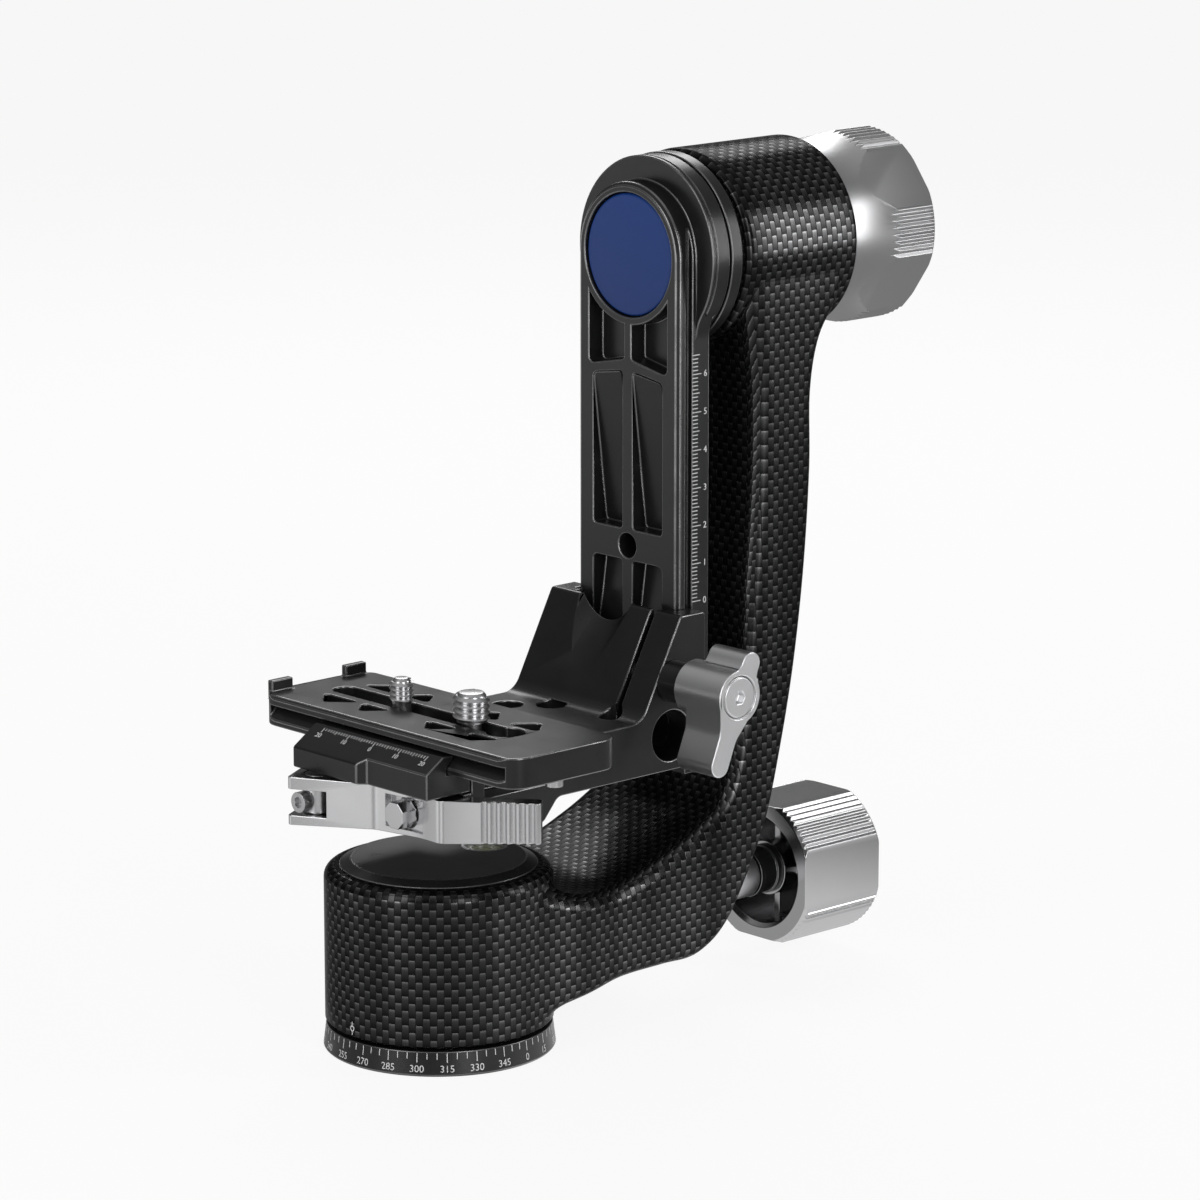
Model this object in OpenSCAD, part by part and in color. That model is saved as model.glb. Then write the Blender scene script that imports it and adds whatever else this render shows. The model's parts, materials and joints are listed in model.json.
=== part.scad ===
// Gimbal head for long lenses: turning base, J-shaped arm, swinging rail, quick-release clamp.
// Millimetres, +Z up. The pan axis is Z, the tilt axis runs along X above it.

/* [Base] */
// Radius of the dial ring at its foot
base_r = 30; // [27:0.5:36]
// Height of the dial ring
base_h = 6.5; // [5.5:0.1:9]
// How far the dial ring leans in from foot to top
base_lean = 0.8; // [0:0.1:1.5]
// Thickness of the ring's floor
floor_t = 3.2; // [2.8:0.1:4]
// Radius of the tripod thread's wall
tripod_r = 3.97; // [3:0.01:4.5]
// Depth of the tripod thread
tripod_depth = 12; // [8:0.5:14]
// Radius of the thread bush
bush_r = 8; // [6.5:0.1:8.5]
// Height of the thread bush
bush_h = 14; // [12:0.5:20]
// Radius of the bush's collar
bush_collar_r = 10.5; // [9.5:0.1:12]
// Thickness of the bush's collar
bush_collar_t = 1.8; // [1:0.1:2.5]
// Circle radius of the base screws
base_screw_ring = 16.5; // [15.5:0.1:17.5]
// Number of base screws
base_screw_count = 3; // [3:1:6]
// Radius of a base screw
base_screw_r = 2; // [1.5:0.1:2.2]
// Radius of a base screw's head
base_head_r = 3.6; // [3:0.1:4]

/* [Pan bearing] */
// Radius of the spindle's flange
flange_r = 21.5; // [20.5:0.1:23]
// Thickness of the spindle's flange
flange_h = 3.6; // [3:0.1:4]
// Radius of the shoulder under the lower bearing
shoulder_r = 13; // [12:0.1:14.5]
// Height of that shoulder
shoulder_h = 1.6; // [1.2:0.1:3]
// Radius of the spindle's post
spindle_r = 11; // [10:0.1:12]
// Radius of the thread at the top of the spindle
spindle_top_r = 9; // [8:0.1:9.6]
// Outer radius of the pan bearings
pan_bearing_r = 18.5; // [17:0.1:20]
// Width of each pan bearing
pan_bearing_w = 7.5; // [6:0.1:9]
// Space between the two pan bearings
pan_bearing_gap = 14.8; // [13.5:0.1:16]
// Inner radius of the housing between the bearings
housing_bore_r = 16; // [15:0.1:16.8]
// Outer radius of the pan housing
housing_r = 24.4; // [23:0.1:25.5]
// Radius of the spindle nut
spindle_nut_r = 14; // [12:0.1:15]
// Height of the spindle nut
spindle_nut_h = 3.6; // [3:0.1:4]

/* [Cup] */
// Radius of the cup at the foot of the arm
cup_r = 29.5; // [28.5:0.1:33]
// Dark gap between ring and cup
cup_gap = 0.9; // [0.8:0.1:1.5]
// Height of the cup's rim above the ground
cup_top = 48; // [47:0.1:52]
// Rounding of the cup's rim
cup_round = 3; // [1:0.1:3.5]
// Radius of the cap
cap_r = 25.5; // [25:0.1:26.3]
// Radius of the cap's flat top
cap_flat_r = 22.6; // [18:0.1:24]
// Height of the cap above the rim
cap_h = 1.8; // [1:0.1:3]
// Radius of the bubble level's cup
level_r = 6; // [4:0.1:7]
// Depth of the bubble level's cup
level_h = 5.4; // [4:0.1:5.8]
// Distance of the level from the pan axis
level_x = 15.8; // [12:0.1:16]

/* [Arm] */
// Height of the tilt axis
tilt_z = 198.3; // [192:0.1:215]
// Outer face of the upright
arm_out_x = 111; // [108:0.1:114]
// Inner face of the upright
arm_in_x = 90; // [88:0.1:93]
// Half-width of the arm
arm_half_w = 25; // [20:0.1:27]
// Half-width of the arm where it leaves the cup
arm_foot_half_w = 28; // [24:0.1:28.4]
// Rounding of the arm's long edges
arm_round = 4.5; // [2:0.1:7]
// Radius of the tilt hub
hub_r = 26; // [25:0.1:30]
// Front face of the tilt hub
hub_x = 84.8; // [84:0.1:87]
// Length of the tilt hub
hub_len = 40.7; // [38:0.1:44]
// Rounding of the hub's ends
hub_round = 2; // [0.5:0.1:3]

/* [Tilt bearing] */
// Radius of the axle
axle_r = 10; // [9:0.1:11]
// Radius of the axle's threaded end
axle_end_r = 8; // [7:0.1:8.6]
// Radius of the axle's head
axle_head_r = 15.5; // [14.8:0.1:15.8]
// Thickness of the axle's head
axle_head_t = 3.8; // [3.4:0.1:4]
// Outer radius of the tilt bearings
tilt_bearing_r = 16; // [14.5:0.1:18]
// Width of each tilt bearing
tilt_bearing_w = 7; // [6:0.1:9]
// Outer radius of the tilt housing
tilt_housing_r = 21.4; // [20.6:0.1:22.5]
// Length of the tilt housing
tilt_housing_len = 36.2; // [32:0.1:36.5]
// Wall in front of each tilt bearing
bearing_inset = 1.2; // [0.8:0.1:2.5]
// Inner radius of the housing between the bearings
tilt_bore_r = 13.5; // [12:0.1:14.2]
// Step from the hub down to the ring in front of it
ring_step = 0.4; // [0:0.1:1]
// Width of the ring in front of the hub
ring_w = 3.7; // [3:0.1:4]
// Radius of the dark neck behind the ring
ring_neck_r = 24; // [22:0.1:24.8]
// Thickness of the friction washer
washer_t = 2; // [1.5:0.1:2.4]
// Outer radius of the friction washer
washer_r = 20; // [17:0.1:20.8]
// Circle radius of the axle bolts
axle_bolt_ring = 12.75; // [12.5:0.05:12.9]
// Number of axle bolts
axle_bolt_count = 4; // [3:1:6]
// Radius of an axle bolt
axle_bolt_r = 1.5; // [1:0.1:1.8]

/* [Tilt knob] */
// Radius of the tilt knob over its ribs
tilt_knob_r = 26; // [24.8:0.1:30]
// Distance of the flats from the axis
tilt_knob_flat = 24.1; // [23:0.1:24.5]
// Start of the crown
tilt_crown_x = 141.3; // [138:0.1:144]
// Far end of the tilt knob
tilt_knob_end = 155.5; // [154.5:0.1:160]
// Radius of the neck next to the hub
tilt_neck_r = 23.6; // [22:0.1:24]
// Half-angle of a ribbed arc
tilt_rib_half = 14.2; // [12:0.1:18]
// Ribs on each arc
tilt_ribs = 7; // [5:1:9]
// Turn of the first ribbed arc
tilt_knob_turn = 1; // [0:1:72]
// Outer radius of the threaded insert
insert_r = 12; // [10.5:0.1:13]
// Radius of the recess in the knob's end
knob_recess_r = 14; // [13.5:0.1:17]
// Depth of the recess in the knob's end
knob_recess_d = 8; // [7.5:0.1:9]
// Radius of the screw in the axle's end
axle_screw_r = 3; // [2:0.1:4]
// Radius of that screw's head
axle_screw_head_r = 5; // [4:0.1:6]
// Radius of the washer under that head
axle_washer_r = 11; // [9:0.1:13]

/* [Pan lock] */
// Height of the pan lock's axis
lock_z = 24.3; // [23:0.1:25.5]
// Radius of the pan knob over its ribs
pan_knob_r = 21; // [19:0.1:22]
// Distance of the pan knob's flats from its axis
pan_knob_flat = 18.8; // [17.5:0.1:19]
// Near face of the pan knob
pan_knob_x = 114.5; // [113:0.1:118]
// Length of the pan knob
pan_knob_len = 28.5; // [26:0.1:34]
// Half-angle of a ribbed arc
pan_rib_half = 19.5; // [17:0.1:22]
// Ribs on each arc
pan_ribs = 8; // [6:1:10]
// Height of a rib on either knob
rib_h = 0.7; // [0.3:0.1:1]
// Radius of the hollow in the pan knob
pan_hollow_r = 14.8; // [12:0.1:15.5]
// Depth of that hollow
pan_hollow_d = 20; // [15:0.1:22]
// Radius of the boss inside the hollow
pan_boss_r = 7.5; // [6:0.1:8.5]
// Thickness of a spoke inside the hollow
spoke_t = 2; // [1.5:0.1:3]
// Radius of the lock stud
stud_r = 4; // [3:0.1:5]
// Inner tip of the lock stud
stud_x = 65.9; // [65.5:0.1:67]
// Outer radius of the stud's bush
stud_bush_r = 6.4; // [5.6:0.1:7]
// Inner end of the stud's bush
stud_bush_x = 63; // [60:0.1:64]
// Outer end of the stud's bush
stud_bush_end = 109.6; // [106:0.1:110]
// Radius of the collar behind the pan knob
collar_r = 6.7; // [5.8:0.1:7.4]
// Radius of the brake rod
rod_r = 3; // [2:0.1:3.4]
// Outer end of the brake rod
rod_end = 65.2; // [64.5:0.1:65.4]
// Radius of the brake shoe
shoe_r = 5; // [4:0.1:5.5]

/* [Rail] */
// Front face of the rail
rail_x = 66.2; // [65.8:0.1:66.6]
// Half-width of the rail
rail_half_w = 19; // [18:0.1:20]
// Back face of the rail
rail_back_x = 77.4; // [76:0.1:78]
// Lower end of the rail
rail_foot = 66.3; // [65:0.1:66.4]
// Width of the plain strip in front of the groove
strip_w = 2.8; // [2.4:0.1:3]
// Depth of the dovetail groove
groove_d = 1.8; // [1.2:0.1:2.2]
// Back wall of the dovetail groove
groove_back_x = 71.3; // [71.2:0.1:72]
// Height above the tilt axis where the groove stops
groove_over = 14; // [10:0.5:18]
// Radius of the rail's round flange
rail_flange_r = 25.3; // [23:0.1:26]
// Front of the round flange
rail_flange_x = 72.6; // [72.4:0.1:73.5]
// Back of the round flange
rail_flange_back = 78.7; // [78:0.1:78.9]
// Radius of the sweep from rail to flange
rail_sweep_r = 12; // [8:0.5:16]
// Radius of the badge
badge_r = 16; // [12:0.1:16.4]
// Thickness of the badge
badge_t = 1.4; // [0.8:0.1:1.5]
// How far the badge sits below the rail's face
badge_inset = 0.7; // [0.4:0.1:0.8]
// Outer edge of the long pockets
pocket_out = 13; // [10:0.1:14]
// Inner edge of the long pockets
pocket_in = 2.05; // [1.5:0.05:4]
// Bottom of the long pockets
pocket_low = 126; // [125.6:0.1:130]
// Top of the long pockets at their outer edge
pocket_high = 166; // [160:0.1:166.5]
// Rise of the pockets' upper edge towards the middle
pocket_rise = 1.7; // [0:0.1:2]
// Depth of the pockets
pocket_d = 5; // [3:0.1:5.5]
// Top of the lower pockets
low_pocket_high = 117.5; // [112:0.1:117.6]
// Bottom of the lower pockets
low_pocket_low = 82; // [80:0.1:90]
// Outer edge of the windows under the badge
window_out = 14.7; // [12:0.1:15]
// Inner edge of the windows under the badge
window_in = 1.35; // [1:0.05:3]
// Lowest edge of the windows, below the tilt axis
window_drop = 30; // [28:0.1:30.2]
// Rise of the windows' lower edge towards the middle
window_rise = 2.7; // [0:0.1:3]
// Radius that bounds the windows at the top
window_arc_r = 18.3; // [17.6:0.1:20]
// Radius of the hole between the pockets
rail_hole_r = 3.25; // [2:0.05:3.6]
// Height of that hole
rail_hole_z = 121.5; // [121.3:0.1:121.9]
// Thickness of the stop plate
stop_t = 2.4; // [2:0.1:4]
// Radius of a stop plate screw
stop_screw_r = 1.5; // [1.2:0.1:1.8]
// Sideways place of the stop plate screws
stop_screw_y = 8; // [5:0.1:14]

/* [Bracket] */
// Half-width of the bracket
bracket_half_w = 24.8; // [23.5:0.1:27]
// Top of the bracket's jaws
bracket_top = 107.3; // [104:0.1:112]
// Underside of the platform
bracket_low = 66.8; // [66.6:0.1:68]
// Back face of the bracket's jaws
bracket_back_x = 70.9; // [70.6:0.1:71]
// Front of the jaws at the top
bracket_top_x = 62; // [59:0.1:63]
// Top face of the platform
platform_z = 81.2; // [80:0.1:82]
// Front foot of the sloping face
slope_foot_x = 48.3; // [46:0.1:50]
// Radius of the scooped hollow
scoop_r = 13.2; // [10:0.1:14]
// Sideways place of the hollow
scoop_y = 4; // [1:0.1:4.5]
// Slope of the hollow
scoop_tilt = 49; // [44:1:54]
// Where the hollow's floor starts, along X
scoop_x = 52.6; // [51:0.1:54]
// Height where the hollow's floor starts
scoop_z = 89.5; // [88.8:0.1:92]
// Front of the relief behind the bracket's ridge
relief_x = 63.2; // [62.6:0.1:64]
// Half-width of the relief
relief_half_w = 16.4; // [14:0.1:17]
// Sideways place of the clamping slit
slit_y = -14.4; // [-15.5:0.1:-13]
// Width of the clamping slit
slit_w = 1.6; // [1:0.1:2.5]
// Bottom of the clamping slit
slit_z = 72; // [70:0.1:76]
// Front end of the slit
slit_x = 47; // [44:0.1:50]
// Radius of the cross bore in the bracket's side
cross_r = 6.7; // [5:0.1:7]
// Place of the cross bore along X
cross_x = 58.7; // [57:0.1:60]
// Height of the cross bore
cross_z = 76.1; // [75.5:0.1:76.8]
// Radius of the two holes in the platform
platform_hole_r = 4; // [3:0.1:4.4]

/* [Wing knob] */
// Place of the wing bolt along X
wing_x = 58.8; // [58.2:0.1:59.2]
// Height of the wing bolt
wing_z = 90.7; // [90.2:0.1:91.2]
// Radius of the wing bolt
wing_bolt_r = 3; // [2:0.1:3.2]
// Radius of the wing knob's hub
wing_hub_r = 7.2; // [6:0.1:8]
// Radius of the neck behind the hub
wing_neck_r = 5.5; // [4.5:0.1:6]
// Start of the wing knob's hub
wing_y = 33; // [31:0.1:36]
// Start of the wings
wing_lobe_y = 37; // [36:0.1:40]
// Far end of the wing knob
wing_end_y = 50; // [47:0.1:54]
// Half-thickness of a wing
wing_half_t = 3.05; // [2:0.05:4]
// Reach of the short wing
wing_short = 12.2; // [10:0.1:14]
// Reach of the long wing
wing_long = 21.3; // [17:0.1:23]
// Direction of the short wing
wing_short_turn = 63.6; // [50:0.1:80]
// Direction of the long wing
wing_long_turn = -112; // [-125:1:-100]

/* [Clamp] */
// Front of the clamp bed
bed_front_x = -13; // [-13.2:0.1:-11]
// Underside of the clamp bed
bed_low = 61; // [59:0.1:63]
// Back end of the clamp bed's underside
bed_back_x = 14; // [10:0.1:18]
// Front of the sliding jaw
jaw_front_x = -27.4; // [-29:0.1:-26.6]
// Underside of the sliding jaw
jaw_low = 73.5; // [73.2:0.1:74]
// Height of the sliding jaw's front face
jaw_face_h = 5.4; // [4:0.1:6]
// Top of the jaws' noses
nose_z = 83.9; // [83.6:0.1:84.1]
// Radius of a guide pin
jaw_pin_r = 1.5; // [1:0.1:1.6]
// Sideways place of the guide pins
jaw_pin_y = 9; // [6:0.1:16]
// Height of the guide pins
jaw_pin_z = 76; // [75.5:0.1:76.5]
// Start of the recesses for the plate's stops
stop_recess_y = 18.5; // [17:0.1:20]
// Floor of those recesses
stop_recess_z = 71; // [70.5:0.1:73]

/* [Lever] */
// Place of the lever's pivot along X
pivot_x = -25; // [-26:0.1:-24.8]
// Place of the lever's pivot along Y
pivot_y = 17.8; // [17:0.1:18.2]
// Top of the lever
lever_top = 72.8; // [72.2:0.1:72.9]
// Underside of the lever at its fork
lever_fork_low = 59.7; // [58:0.1:60.5]
// Underside of the lever at its tip
lever_tip_low = 62.4; // [59:0.1:63]
// Bottom of the fork's slot
fork_low = 62.8; // [62.4:0.1:63.2]
// Top of the fork's slot
fork_high = 69.6; // [69:0.1:70]
// Clear radius of the slot round the pivot
fork_clear_r = 7.6; // [7.2:0.1:8.2]
// Radius of the pivot's ends
pivot_r = 2.5; // [1.8:0.1:2.8]
// Radius of the pivot's head
pivot_head_r = 3.4; // [3:0.1:4]
// Radius of the pivot's barrel in the slot
barrel_r = 4; // [3.6:0.1:4.4]
// Radius of the tension screw
tension_r = 2; // [1.4:0.1:2.2]
// Radius of the tension screw's head
tension_head_r = 2.7; // [2.4:0.1:3]
// Length of the tension screw's head
tension_head_len = 2.8; // [2:0.1:3]
// Inner end of the tension screw
tension_end_x = 8; // [2:0.5:10]
// Sideways place of the lock button
button_y = -10.8; // [-13:0.1:-9]
// Height of the lock button
button_z = 67; // [66:0.1:68]
// Radius of the eight-sided button
button_r = 3.7; // [3:0.1:4]
// Outer face of the button
button_x = -24.3; // [-26:0.1:-23]
// Inner face of the button's head
button_back_x = -19; // [-19.4:0.1:-18.8]
// Radius of the button's stem
button_stem_r = 2.2; // [1.5:0.1:2.5]
// Travel of the button
button_travel = 1.5; // [1:0.1:1.6]
// Outer face of the lever at its button
lever_face_x = -20.2; // [-21:0.1:-19.8]
// Inner face of the lever at its button
lever_back_x = -15.4; // [-16:0.1:-14.6]
// Where the lever bends out of its fork
lever_bend_y = -0.6; // [-3:0.1:2]
// Where the lever bends into its grip
lever_grip_y = -24.2; // [-26:0.1:-22]
// Tip of the lever along X
lever_tip_x = -4.4; // [-8:0.1:-2]
// Tip of the lever along Y
lever_tip_y = -43.8; // [-50:0.1:-40]
// Thickness of the grip
grip_t = 4.8; // [3.5:0.1:6]
// Reach of the fork round its pivot
fork_reach = 8.7; // [8.2:0.1:9.4]
// Number of grooves in the lever's grip
grip_count = 6; // [3:1:7]
// Spacing of those grooves
grip_step = 2.4; // [2:0.1:2.8]

/* [Plate] */
// Half-width of the camera plate
plate_half_w = 18.5; // [17.5:0.1:19]
// Half-length of the camera plate
plate_half_len = 49; // [47.5:0.1:55]
// Top of the camera plate
plate_top = 87.3; // [86.8:0.1:88]
// Underside of the camera plate
plate_low = 79.3; // [79.2:0.1:79.6]
// Rounding of the plate's corners in plan
plate_round = 6; // [2:0.1:9]
// Top of the plate's lower lip
lip_z = 80.9; // [80.7:0.1:81]
// Depth of the dovetail in the plate's sides
dovetail_d = 3; // [2.6:0.1:3.4]
// Top of the dovetail groove
dovetail_top = 84.6; // [84.3:0.1:85]
// Half-length of the dovetail groove
dovetail_half_len = 45.4; // [45:0.1:46.5]
// Half-width of the central slot
slot_half_w = 3.4; // [3.3:0.05:3.8]
// Far end of the slot
slot_far_y = 36; // [30:0.1:38]
// Near end of the slot
slot_near_y = -26; // [-30:0.1:-22]
// Radius of the slot's round end
slot_eye_r = 4.9; // [4:0.1:5.4]
// Half-width of the trough under the slot
trough_half_w = 7.2; // [7:0.1:8]
// Top of that trough
trough_z = 83; // [82.9:0.1:83.4]
// Inner edge of the triangular windows
tri_in = 6.4; // [5.6:0.1:7]
// Outer edge of the triangular windows
tri_out = 12.8; // [10:0.1:13.4]
// Height of a lug above the plate
lug_h = 3; // [1:0.1:4]
// Width of a lug
lug_w = 7; // [5:0.1:8]
// Sideways place of the lugs
lug_x = 12.5; // [9:0.1:13]
// Distance of the stop screws from the middle
stop_y = 44; // [42:0.1:45]
// Radius of a stop screw's head
stop_head_r = 2.3; // [1.8:0.1:2.8]
// Height of a stop screw's head
stop_head_h = 2.5; // [1.5:0.1:3.5]

/* [Camera screws] */
// Radius of the quarter-inch thread
quarter_r = 3.175; // [2.5:0.005:3.2]
// Place of the quarter-inch screw along the slot
quarter_y = 14; // [8:0.1:26]
// Tip of the quarter-inch screw
quarter_tip = 94.4; // [90:0.1:97]
// Radius of the three-eighths thread
three_eighth_r = 4.76; // [4:0.01:5]
// Place of the three-eighths screw along the slot
three_eighth_y = -13; // [-20:0.1:-6]
// Tip of the three-eighths screw
three_eighth_tip = 95.4; // [91:0.1:98]
// Radius of both screws' heads
camera_head_r = 6.3; // [5:0.1:6.6]
// Radius of the three-eighths screw inside the slot
camera_neck_r = 3; // [2.5:0.1:3.1]

/* [Fits] */
// Gap between glued or seated pieces
seat = 0.05; // [0.02:0.01:0.1]
// Radial clearance of a running fit
run = 0.04; // [0.02:0.01:0.09]
// Clearance of a sliding face
slide = 0.3; // [0.25:0.01:0.4]
// Clearance between turning faces
turn_gap = 0.5; // [0.3:0.05:0.6]
// Brake clearance at the spindle
brake_gap = 0.35; // [0.3:0.05:0.6]

/* [Hidden] */
$fn = 96;
cut = 0.5;
base_edge = 0.5;
cap_edge = 0.4;
level_wall = 0.8;
level_lens_t = 1.2;
tilt_rim = 1.5;
pan_rim = 1.2;
spoke_inset = 8;
pan_boss_inset = 3.5;
rail_edge = 1;
top_round = 1.2;
slope_round = 6;
pivot_head_t = 1;
plate_edge = 0.8;
axle_screw_head_h = 4.5;
platform_hole_d = 6;
slit_end_r = 3;
grip_r = 0.8;
lug_t = 2;
jaw_step = 2;
jaw_step_y = -2;
axle_bolt_head_r = 2.4;
stop_half_w = 22;
flange_top = floor_t + flange_h;
cup_low = base_h + cup_gap;
lower_bearing_z = flange_top + shoulder_h + 0.1;
lower_bearing_top = lower_bearing_z + pan_bearing_w;
upper_bearing_z = lower_bearing_top + pan_bearing_gap;
upper_bearing_top = upper_bearing_z + pan_bearing_w;
spindle_nut_z = upper_bearing_top + 0.2;
spindle_top = spindle_nut_z + spindle_nut_h;
housing_low = cup_low + 0.2;
housing_top = spindle_top + 0.6;
cap_low = housing_top + 0.2;
cap_top = cup_top + cap_h;
cup_bore_r = housing_r + seat;
shoe_x = housing_r - 3.4;
level_low = cap_top - level_h;
hub_end = hub_x + hub_len;
root_x = cup_r + 3;
neck_z = tilt_z - hub_r - 3;
arm_head_half_w = hub_r - 1;
hub_bore_r = tilt_housing_r + seat;
tilt_housing_end = hub_x + tilt_housing_len;
front_bearing_x = hub_x + bearing_inset;
rear_bearing_x = tilt_housing_end - bearing_inset - tilt_bearing_w;
ring_x = rail_flange_back + turn_gap;
ring_r = hub_r - ring_step;
washer_x = tilt_housing_end;
knob_boss_x = washer_x + washer_t + turn_gap;
knob_face_x = hub_end + turn_gap;
badge_x = rail_x + badge_inset;
badge_back_x = badge_x + badge_t;
axle_head_x = badge_back_x + 0.1;
axle_step_x = axle_head_x + axle_head_t;
recess_x = tilt_knob_end - knob_recess_d;
axle_end_x = recess_x + turn_gap;
axle_washer_t = 1.8;
axle_screw_x = axle_end_x + axle_washer_t;
boss_x = pan_knob_x + pan_boss_inset;
hollow_x = pan_knob_x + pan_hollow_d;
pan_knob_end = pan_knob_x + pan_knob_len;
collar_x = stud_bush_end + turn_gap;
groove_x = rail_x + strip_w;
pocket_back_x = rail_x + pocket_d;
channel_x = rail_x - slide;
nose_gap = 0.25;
lip_x = plate_half_w + nose_gap;
nose_x = plate_half_w - dovetail_d + nose_gap + 0.7;
lip_top = lip_z + 0.1;
nose_low = lip_top + lip_x - nose_x;
bed_top = plate_low - 0.2;
bed_step_x = bed_front_x + 2.5;
jaw_half_w = bracket_half_w;
jaw_back_x = bed_step_x - turn_gap;
jaw_top = jaw_low + jaw_face_h;
tension_z = (fork_low + fork_high) / 2;
tension_head_x = pivot_x - barrel_r - tension_head_len;
camera_head_low = plate_low + 0.3;
camera_head_top = trough_z - 0.2;
wing_nut_t = 4.8;
wing_nut_r = wing_bolt_r + 1.2;
wing_fillet = 6;
wing_nut_y = bracket_half_w - wing_nut_t - 0.5;
stop_low = rail_foot - stop_t;
stop_screw_x = (groove_back_x + rail_back_x) / 2;
stop_screw_len = 8;
axle_bolt_len = 8.4;
axle_bolt_head_h = 1.8;
jaw_pin_tip = jaw_back_x - 12.5;
jaw_pin_end = bed_step_x + 14.5;
stop_shank_r = 1.5;
stop_shank_len = 5;

// The arm's shape: outer x and z, inner x and z, half-width
arm_stations = [
    [8, 10, 8, 44, arm_foot_half_w],
    [27, 12, 27, 39.5, arm_foot_half_w],
    [42, 13.7, 40, 39, arm_half_w + 1],
    [58, 13.7, 53, 42, arm_half_w],
    [70, 14, 63, 45.5, arm_half_w],
    [80, 20, 71, 49, arm_half_w],
    [89, 33.5, 77.5, 53, arm_half_w],
    [96, 48, 81.5, 60, arm_half_w],
    [arm_out_x - 9.5, 68, arm_in_x - 6, 70.5, arm_half_w],
    [arm_out_x - 5, 90, arm_in_x - 3.8, 90, arm_half_w],
    [arm_out_x - 1.7, 115, arm_in_x - 1.5, 115, arm_half_w],
    [arm_out_x, tilt_z - 58, arm_in_x, tilt_z - 60, arm_half_w],
    [arm_out_x, tilt_z - 38, arm_in_x, tilt_z - 38, arm_half_w],
    [hub_end - 11.5, tilt_z - 24, hub_x + 3.7, tilt_z - 24, arm_head_half_w],
    [hub_end - 4.5, tilt_z - 13, hub_x + 2.2, tilt_z - 12.3, arm_head_half_w],
    [hub_end - hub_round, tilt_z - 2, hub_x + hub_round, tilt_z - 1, arm_head_half_w]
];
arm_steps = 3;
arm_corner_steps = 4;

// Points of an outline; a corner is [x, y, radius] and radius 0 stays sharp
function unit(v) = v / norm(v);
function short_turn(a) = a > 180 ? a - 360 : (a < -180 ? a + 360 : a);
function bend(p, u, v, r, half, mid) =
    let (s = p + u * r / tan(half) - mid)
    let (e = p + v * r / tan(half) - mid)
    let (a0 = atan2(s.y, s.x))
    let (sweep = short_turn(atan2(e.y, e.x) - a0))
    [for (i = [0:6]) mid + r * [cos(a0 + sweep * i / 6), sin(a0 + sweep * i / 6)]];
function corner(a, p, c, r) =
    let (u = unit(a - p))
    let (v = unit(c - p))
    let (half = acos(u * v) / 2)
    bend(p, u, v, r, half, p + unit(u + v) * r / sin(half));
function flat2(p) = [p.x, p.y];
function rounded(pts) =
    let (n = len(pts))
    [for (i = [0:n - 1])
        let (p = pts[i])
        each p[2] > 0
            ? corner(flat2(pts[(i + n - 1) % n]), flat2(p), flat2(pts[(i + 1) % n]), p[2])
            : [flat2(p)]];

// Outline of a knob: ribbed arcs with flats between them
function rib_r(r, i, n) = r - rib_h * (0.5 - 0.5 * cos(360 * i / n));
function knob_outline(r, lobes, half, ribs, flat_r) =
    let (edge = acos(flat_r / r))
    [for (k = [0:lobes - 1])
        each concat(
            [for (i = [0:ribs * 4])
                let (a = 360 / lobes * k - half + half * i / (ribs * 2))
                rib_r(r, i, 4) * [cos(a), sin(a)]],
            [for (s = [-1, 1])
                let (a = 360 / lobes * (k + 0.5) + s * min(edge, 180 / lobes - half - 1))
                flat_r / cos(min(edge, 180 / lobes - half - 1)) * [cos(a), sin(a)]])];

// Smooth curve through the arm's stations
function smooth(a, b, c, d, t) =
    0.5 * (2 * b + (c - a) * t + (2 * a - 5 * b + 4 * c - d) * t * t
        + (3 * b - a - 3 * c + d) * t * t * t);
function station(i) = arm_stations[max(0, min(len(arm_stations) - 1, i))];
function arm_curve() =
    [for (i = [0:len(arm_stations) - 2], j = [0:arm_steps - 1])
        smooth(station(i - 1), station(i), station(i + 1), station(i + 2), j / arm_steps)];
function arm_rows() = concat(arm_curve(), [station(len(arm_stations) - 1)]);
function arm_section(s) =
    let (long = [s[2] - s[0], 0, s[3] - s[1]])
    let (deep = norm(long))
    let (way = long / deep)
    [for (q = [0:3], k = [0:arm_corner_steps])
        let (a = 90 * q + 90 * k / arm_corner_steps)
        let (right = q == 0 || q == 3)
        let (far = q < 2)
        let (y = (right ? s[4] - arm_round : arm_round - s[4]) + arm_round * cos(a))
        let (d = (far ? deep - arm_round : arm_round) + arm_round * sin(a))
        [s[0], 0, s[1]] + way * d + [0, y, 0]];

module along_x(x, z) {
    translate([x, 0, z])
        rotate([0, 90, 0])
            children();
}

module rod_x(r, x0, x1, y, z) {
    translate([x0, y, z])
        rotate([0, 90, 0])
            cylinder(r = r, h = x1 - x0);
}

module rod_y(r, y0, y1, x, z) {
    translate([x, y1, z])
        rotate([90, 0, 0])
            cylinder(r = r, h = y1 - y0);
}

module tube(r, bore, h) {
    difference() {
        cylinder(r = r, h = h);
        translate([0, 0, -cut])
            cylinder(r = bore, h = h + 2 * cut);
    }
}

// An XZ outline pulled along Y between two places
module pulled_y(pts, y0, y1) {
    translate([0, y1, 0])
        rotate([90, 0, 0])
            linear_extrude(height = y1 - y0)
                polygon(pts);
}

// A YZ outline pulled along X between two places
module pulled_x(pts, x0, x1) {
    translate([x0, 0, 0])
        rotate([90, 0, 90])
            linear_extrude(height = x1 - x0)
                polygon(pts);
}

module base_screw_spots() {
    for (i = [0:base_screw_count - 1])
        rotate([0, 0, 360 / base_screw_count * i + 90])
            translate([base_screw_ring, 0, 0])
                children();
}

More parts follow.
